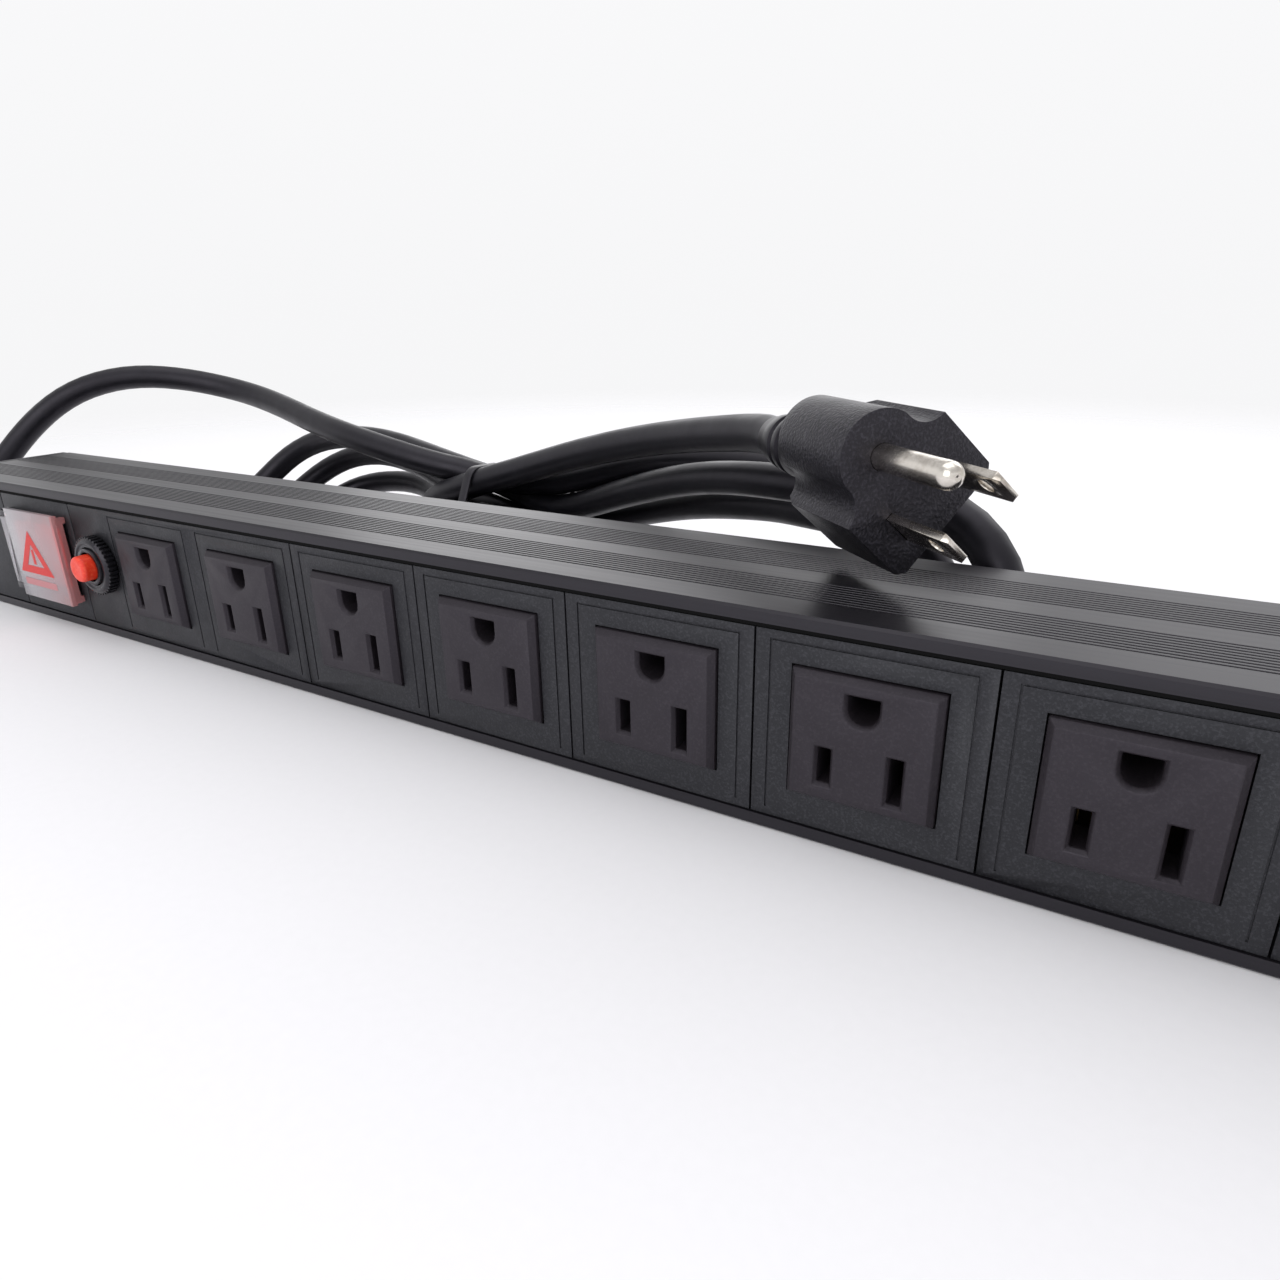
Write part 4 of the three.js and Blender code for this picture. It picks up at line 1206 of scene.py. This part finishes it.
    def sink_ends(self, line: np.ndarray) -> np.ndarray:
        """Carries the line on into the gland and the strain relief, so no light shows between."""
        first = line[0] + self.sunk * (line[0] - line[1]) / np.linalg.norm(line[0] - line[1])
        last = line[-1] + self.sunk * (line[-1] - line[-2]) / np.linalg.norm(line[-1] - line[-2])
        return np.vstack([first, line, last])

    def length(self) -> float:
        """Returns the cord's length in metres."""
        return float(np.linalg.norm(np.diff(self.line, axis=0), axis=1).sum() * MM)

    def tube(self) -> Object:
        """Makes the cord as one round curve."""
        curve = bpy.data.curves.new("power_cord", "CURVE")
        curve.dimensions = "3D"
        curve.bevel_depth = self.diameter / 2 * MM
        curve.bevel_resolution = 6
        curve.use_fill_caps = True
        spline = curve.splines.new("POLY")
        spline.points.add(len(self.line) - 1)
        flat = np.concatenate([self.line * MM, np.ones((len(self.line), 1))], axis=1)
        spline.points.foreach_set("co", flat.ravel())
        spline.use_smooth = True
        cord = bpy.data.objects.new("power_cord", curve)
        bpy.context.scene.collection.objects.link(cord)
        return cord

    def tie(self) -> Object:
        """Makes the strip that gathers the strands: a band round their outline."""
        crossings = []
        for a, b in zip(self.line, self.line[1:]):
            if (a[0] - self.tie_at) * (b[0] - self.tie_at) <= 0 and a[0] != b[0]:
                share = (self.tie_at - a[0]) / (b[0] - a[0])
                crossings.append(a[1:] + share * (b[1:] - a[1:]))
        reach = self.diameter / 2 + 0.25
        ring = np.array([c + reach * np.array([math.cos(t), math.sin(t)])
                         for c in crossings for t in np.linspace(0, 2 * math.pi, 28, endpoint=False)])
        outline = hull_of(ring)
        deselect()
        bpy.ops.mesh.primitive_circle_add(vertices=len(outline), radius=1, fill_type="NOTHING")
        band = name_new("twist_tie")
        for vertex, (y, z) in zip(band.data.vertices, outline):
            vertex.co = Vector((self.tie_at - self.tie_wide / 2, y, z)) * MM
        activate(band)
        bpy.ops.object.mode_set(mode="EDIT")
        bpy.ops.mesh.select_all(action="SELECT")
        bpy.ops.mesh.extrude_edges_move(TRANSFORM_OT_translate={"value": (self.tie_wide * MM, 0, 0)})
        bpy.ops.mesh.select_all(action="SELECT")
        bpy.ops.mesh.normals_make_consistent(inside=False)
        end_edit()
        apply_modifier(band, "SOLIDIFY", thickness=self.tie_thick * MM, offset=1)
        round_edges(band, 0.25, 2, 40)
        return band

    def build(self, plug: Plug, pieces: list[Object]) -> None:
        """Makes the cord and its tie.

        Args:
            plug: The plug that the cord ends in.
            pieces: The plug's pieces; not used.
        """
        raw = self.curve_through(self.stations(plug))
        self.line = self.sink_ends(self.even(self.push_apart(raw)))
        cord = self.tube()
        cord.data.materials.append(PALETTE.get(Finish.JACKET))
        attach(cord, "strip")
        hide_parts("cord_lead", "cord_hank", "cord_tail")
        band = self.tie()
        settle_in(band, Finish.TIE, "strip", ["cord_tie"])
        LOG.info("cord of %.3f m", self.length())


def hull_of(points: np.ndarray) -> list[tuple[float, float]]:
    """Finds the outline that a tight strip takes round flat points.

    Args:
        points: Pairs of numbers.

    Returns:
        The outline's corners, counter-clockwise.
    """
    ordered = sorted(map(tuple, points))

    def half(row: list) -> list:
        """Keeps the points that turn left."""
        kept: list = []
        for p in row:
            while len(kept) > 1 and _turn(kept[-2], kept[-1], p) <= 0:
                kept.pop()
            kept.append(p)
        return kept[:-1]

    return half(ordered) + half(ordered[::-1])


def _turn(a: tuple, b: tuple, c: tuple) -> float:
    """Returns how far c lies to the left of the line from a to b."""
    return (b[0] - a[0]) * (c[1] - a[1]) - (b[1] - a[1]) * (c[0] - a[0])


# ---- studio ---------------------------------------------------------------------------------


@dataclass
class Studio:
    """Pale floor, soft white light and the camera."""

    eye: Point = (149.7, -158.5, 94.9)
    turn: float = 31.4
    dip: float = 21.03
    tilt: float = -1.08
    lens: float = 24.92

    def camera(self) -> None:
        """Makes the camera."""
        data = bpy.data.cameras.new("camera")
        data.lens = self.lens
        data.sensor_width = 36
        data.clip_start = 0.005
        eye = bpy.data.objects.new("camera", data)
        bpy.context.scene.collection.objects.link(eye)
        rotation = (Matrix.Rotation(math.radians(self.turn), 4, "Z")
                    @ Matrix.Rotation(math.radians(90 - self.dip), 4, "X")
                    @ Matrix.Rotation(math.radians(self.tilt), 4, "Z"))
        eye.matrix_world = Matrix.Translation(Vector(self.eye) * MM) @ rotation
        bpy.context.scene.camera = eye

    def floor(self) -> None:
        """Makes the table top, a wide pale sheet."""
        deselect()
        bpy.ops.mesh.primitive_circle_add(vertices=96, radius=1.7, fill_type="NGON")
        floor = name_new("table_top")
        material, tree, place_socket = new_material("white_paper")
        fibre = add_node(tree, "TexNoise", {"Vector": place_socket, "Scale": 1 / (2 * MM), "Detail": 3.0})
        tone = add_node(tree, "MixRGB", {
            "Fac": fibre.outputs["Fac"], "Color1": linear("#efeef1"), "Color2": linear("#f2f1f4")})
        paper = add_node(tree, "BsdfPrincipled", {"Base Color": tone.outputs[0], "Roughness": 0.9,
                                                     "Specular IOR Level": 0.1})
        far = add_node(tree, "MapRange", {
            "Value": add_node(tree, "VectorMath", {0: place_socket}, operation="LENGTH").outputs["Value"],
            "From Min": 0.28, "From Max": 0.85}, interpolation_type="SMOOTHSTEP")
        finish_surface(tree, add_node(tree, "MixShader", {
            0: far.outputs[0], 1: paper.outputs[0],
            2: add_node(tree, "BsdfTransparent").outputs[0]}))
        floor.data.materials.append(material)

    def world(self) -> None:
        """Makes the white surroundings: bright near the horizon, dimmer above."""
        world = bpy.data.worlds.new("white_room")
        bpy.context.scene.world = world
        world.use_nodes = True
        tree = world.node_tree
        tree.nodes.clear()
        way = add_node(tree, "TexCoord").outputs["Generated"]
        height = add_node(tree, "SeparateXYZ", {"Vector": way}).outputs["Z"]
        ramp = add_node(tree, "ValToRGB", {"Fac": height})
        shades = [(0.0, 0.925), (0.36, 0.95), (0.55, 0.66), (0.75, 0.62), (0.88, 0.9), (1.0, 0.9)]
        ramp.color_ramp.elements.remove(ramp.color_ramp.elements[1])
        for position, shade in shades:
            element = ramp.color_ramp.elements.new(position) if position else ramp.color_ramp.elements[0]
            element.color = (shade, shade, shade * 1.01, 1)
        back = add_node(tree, "Background", {"Color": ramp.outputs["Color"], "Strength": 1.0})
        add_node(tree, "OutputWorld", {"Surface": back.outputs[0]})

    def lamp(self, name: str, at: Point, to: Point, size: float, power: float) -> None:
        """Adds a soft box.

        Args:
            name: The lamp's name.
            at: Its place in metres.
            to: The point that it faces.
            size: Its side in metres.
            power: Its power in watts.
        """
        data = bpy.data.lights.new(name, "AREA")
        data.shape = "SQUARE"
        data.size = size
        data.energy = power
        lamp = bpy.data.objects.new(name, data)
        bpy.context.scene.collection.objects.link(lamp)
        lamp.location = at
        lamp.visible_camera = False
        lamp.rotation_mode = "QUATERNION"
        lamp.rotation_quaternion = (Vector(to) - Vector(at)).to_track_quat("-Z", "Y")

    def build(self) -> None:
        """Makes everything that isn't part of the object."""
        self.camera()
        self.floor()
        self.world()
        self.lamp("overhead_box", (-0.1, 0.1, 1.5), (0, 0, 0), 1.4, 5.6)
        self.lamp("low_back_box", (-0.9, 1.7, 0.45), (0, 0, 0.04), 1.6, 9)
        self.lamp("high_back_box", (0.45, 1.1, 1.0), (0.1, 0, 0.04), 0.9, 4)
        self.lamp("front_box", (-0.1, -1.8, 0.9), (0, 0, 0.02), 1.5, 11)
        bpy.context.scene.view_settings.view_transform = "Standard"


# ---- making it all --------------------------------------------------------------------------


def corners(bounds: tuple[Vector, Vector]) -> list[list[float]]:
    """Turns a box's two corners into plain lists."""
    return [list(corner) for corner in bounds]


def main() -> None:
    """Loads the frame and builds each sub-assembly."""
    logging.basicConfig(level=logging.INFO, format="%(message)s")
    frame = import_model()
    Studio().build()
    plug = Plug()
    PowerCord().build(plug, plug.build())
    FrameDress(frame["nodes"]).build()
    Breaker().build()
    Guard().build()
    EndScrews().build()


if __name__ == "__main__":
    main()
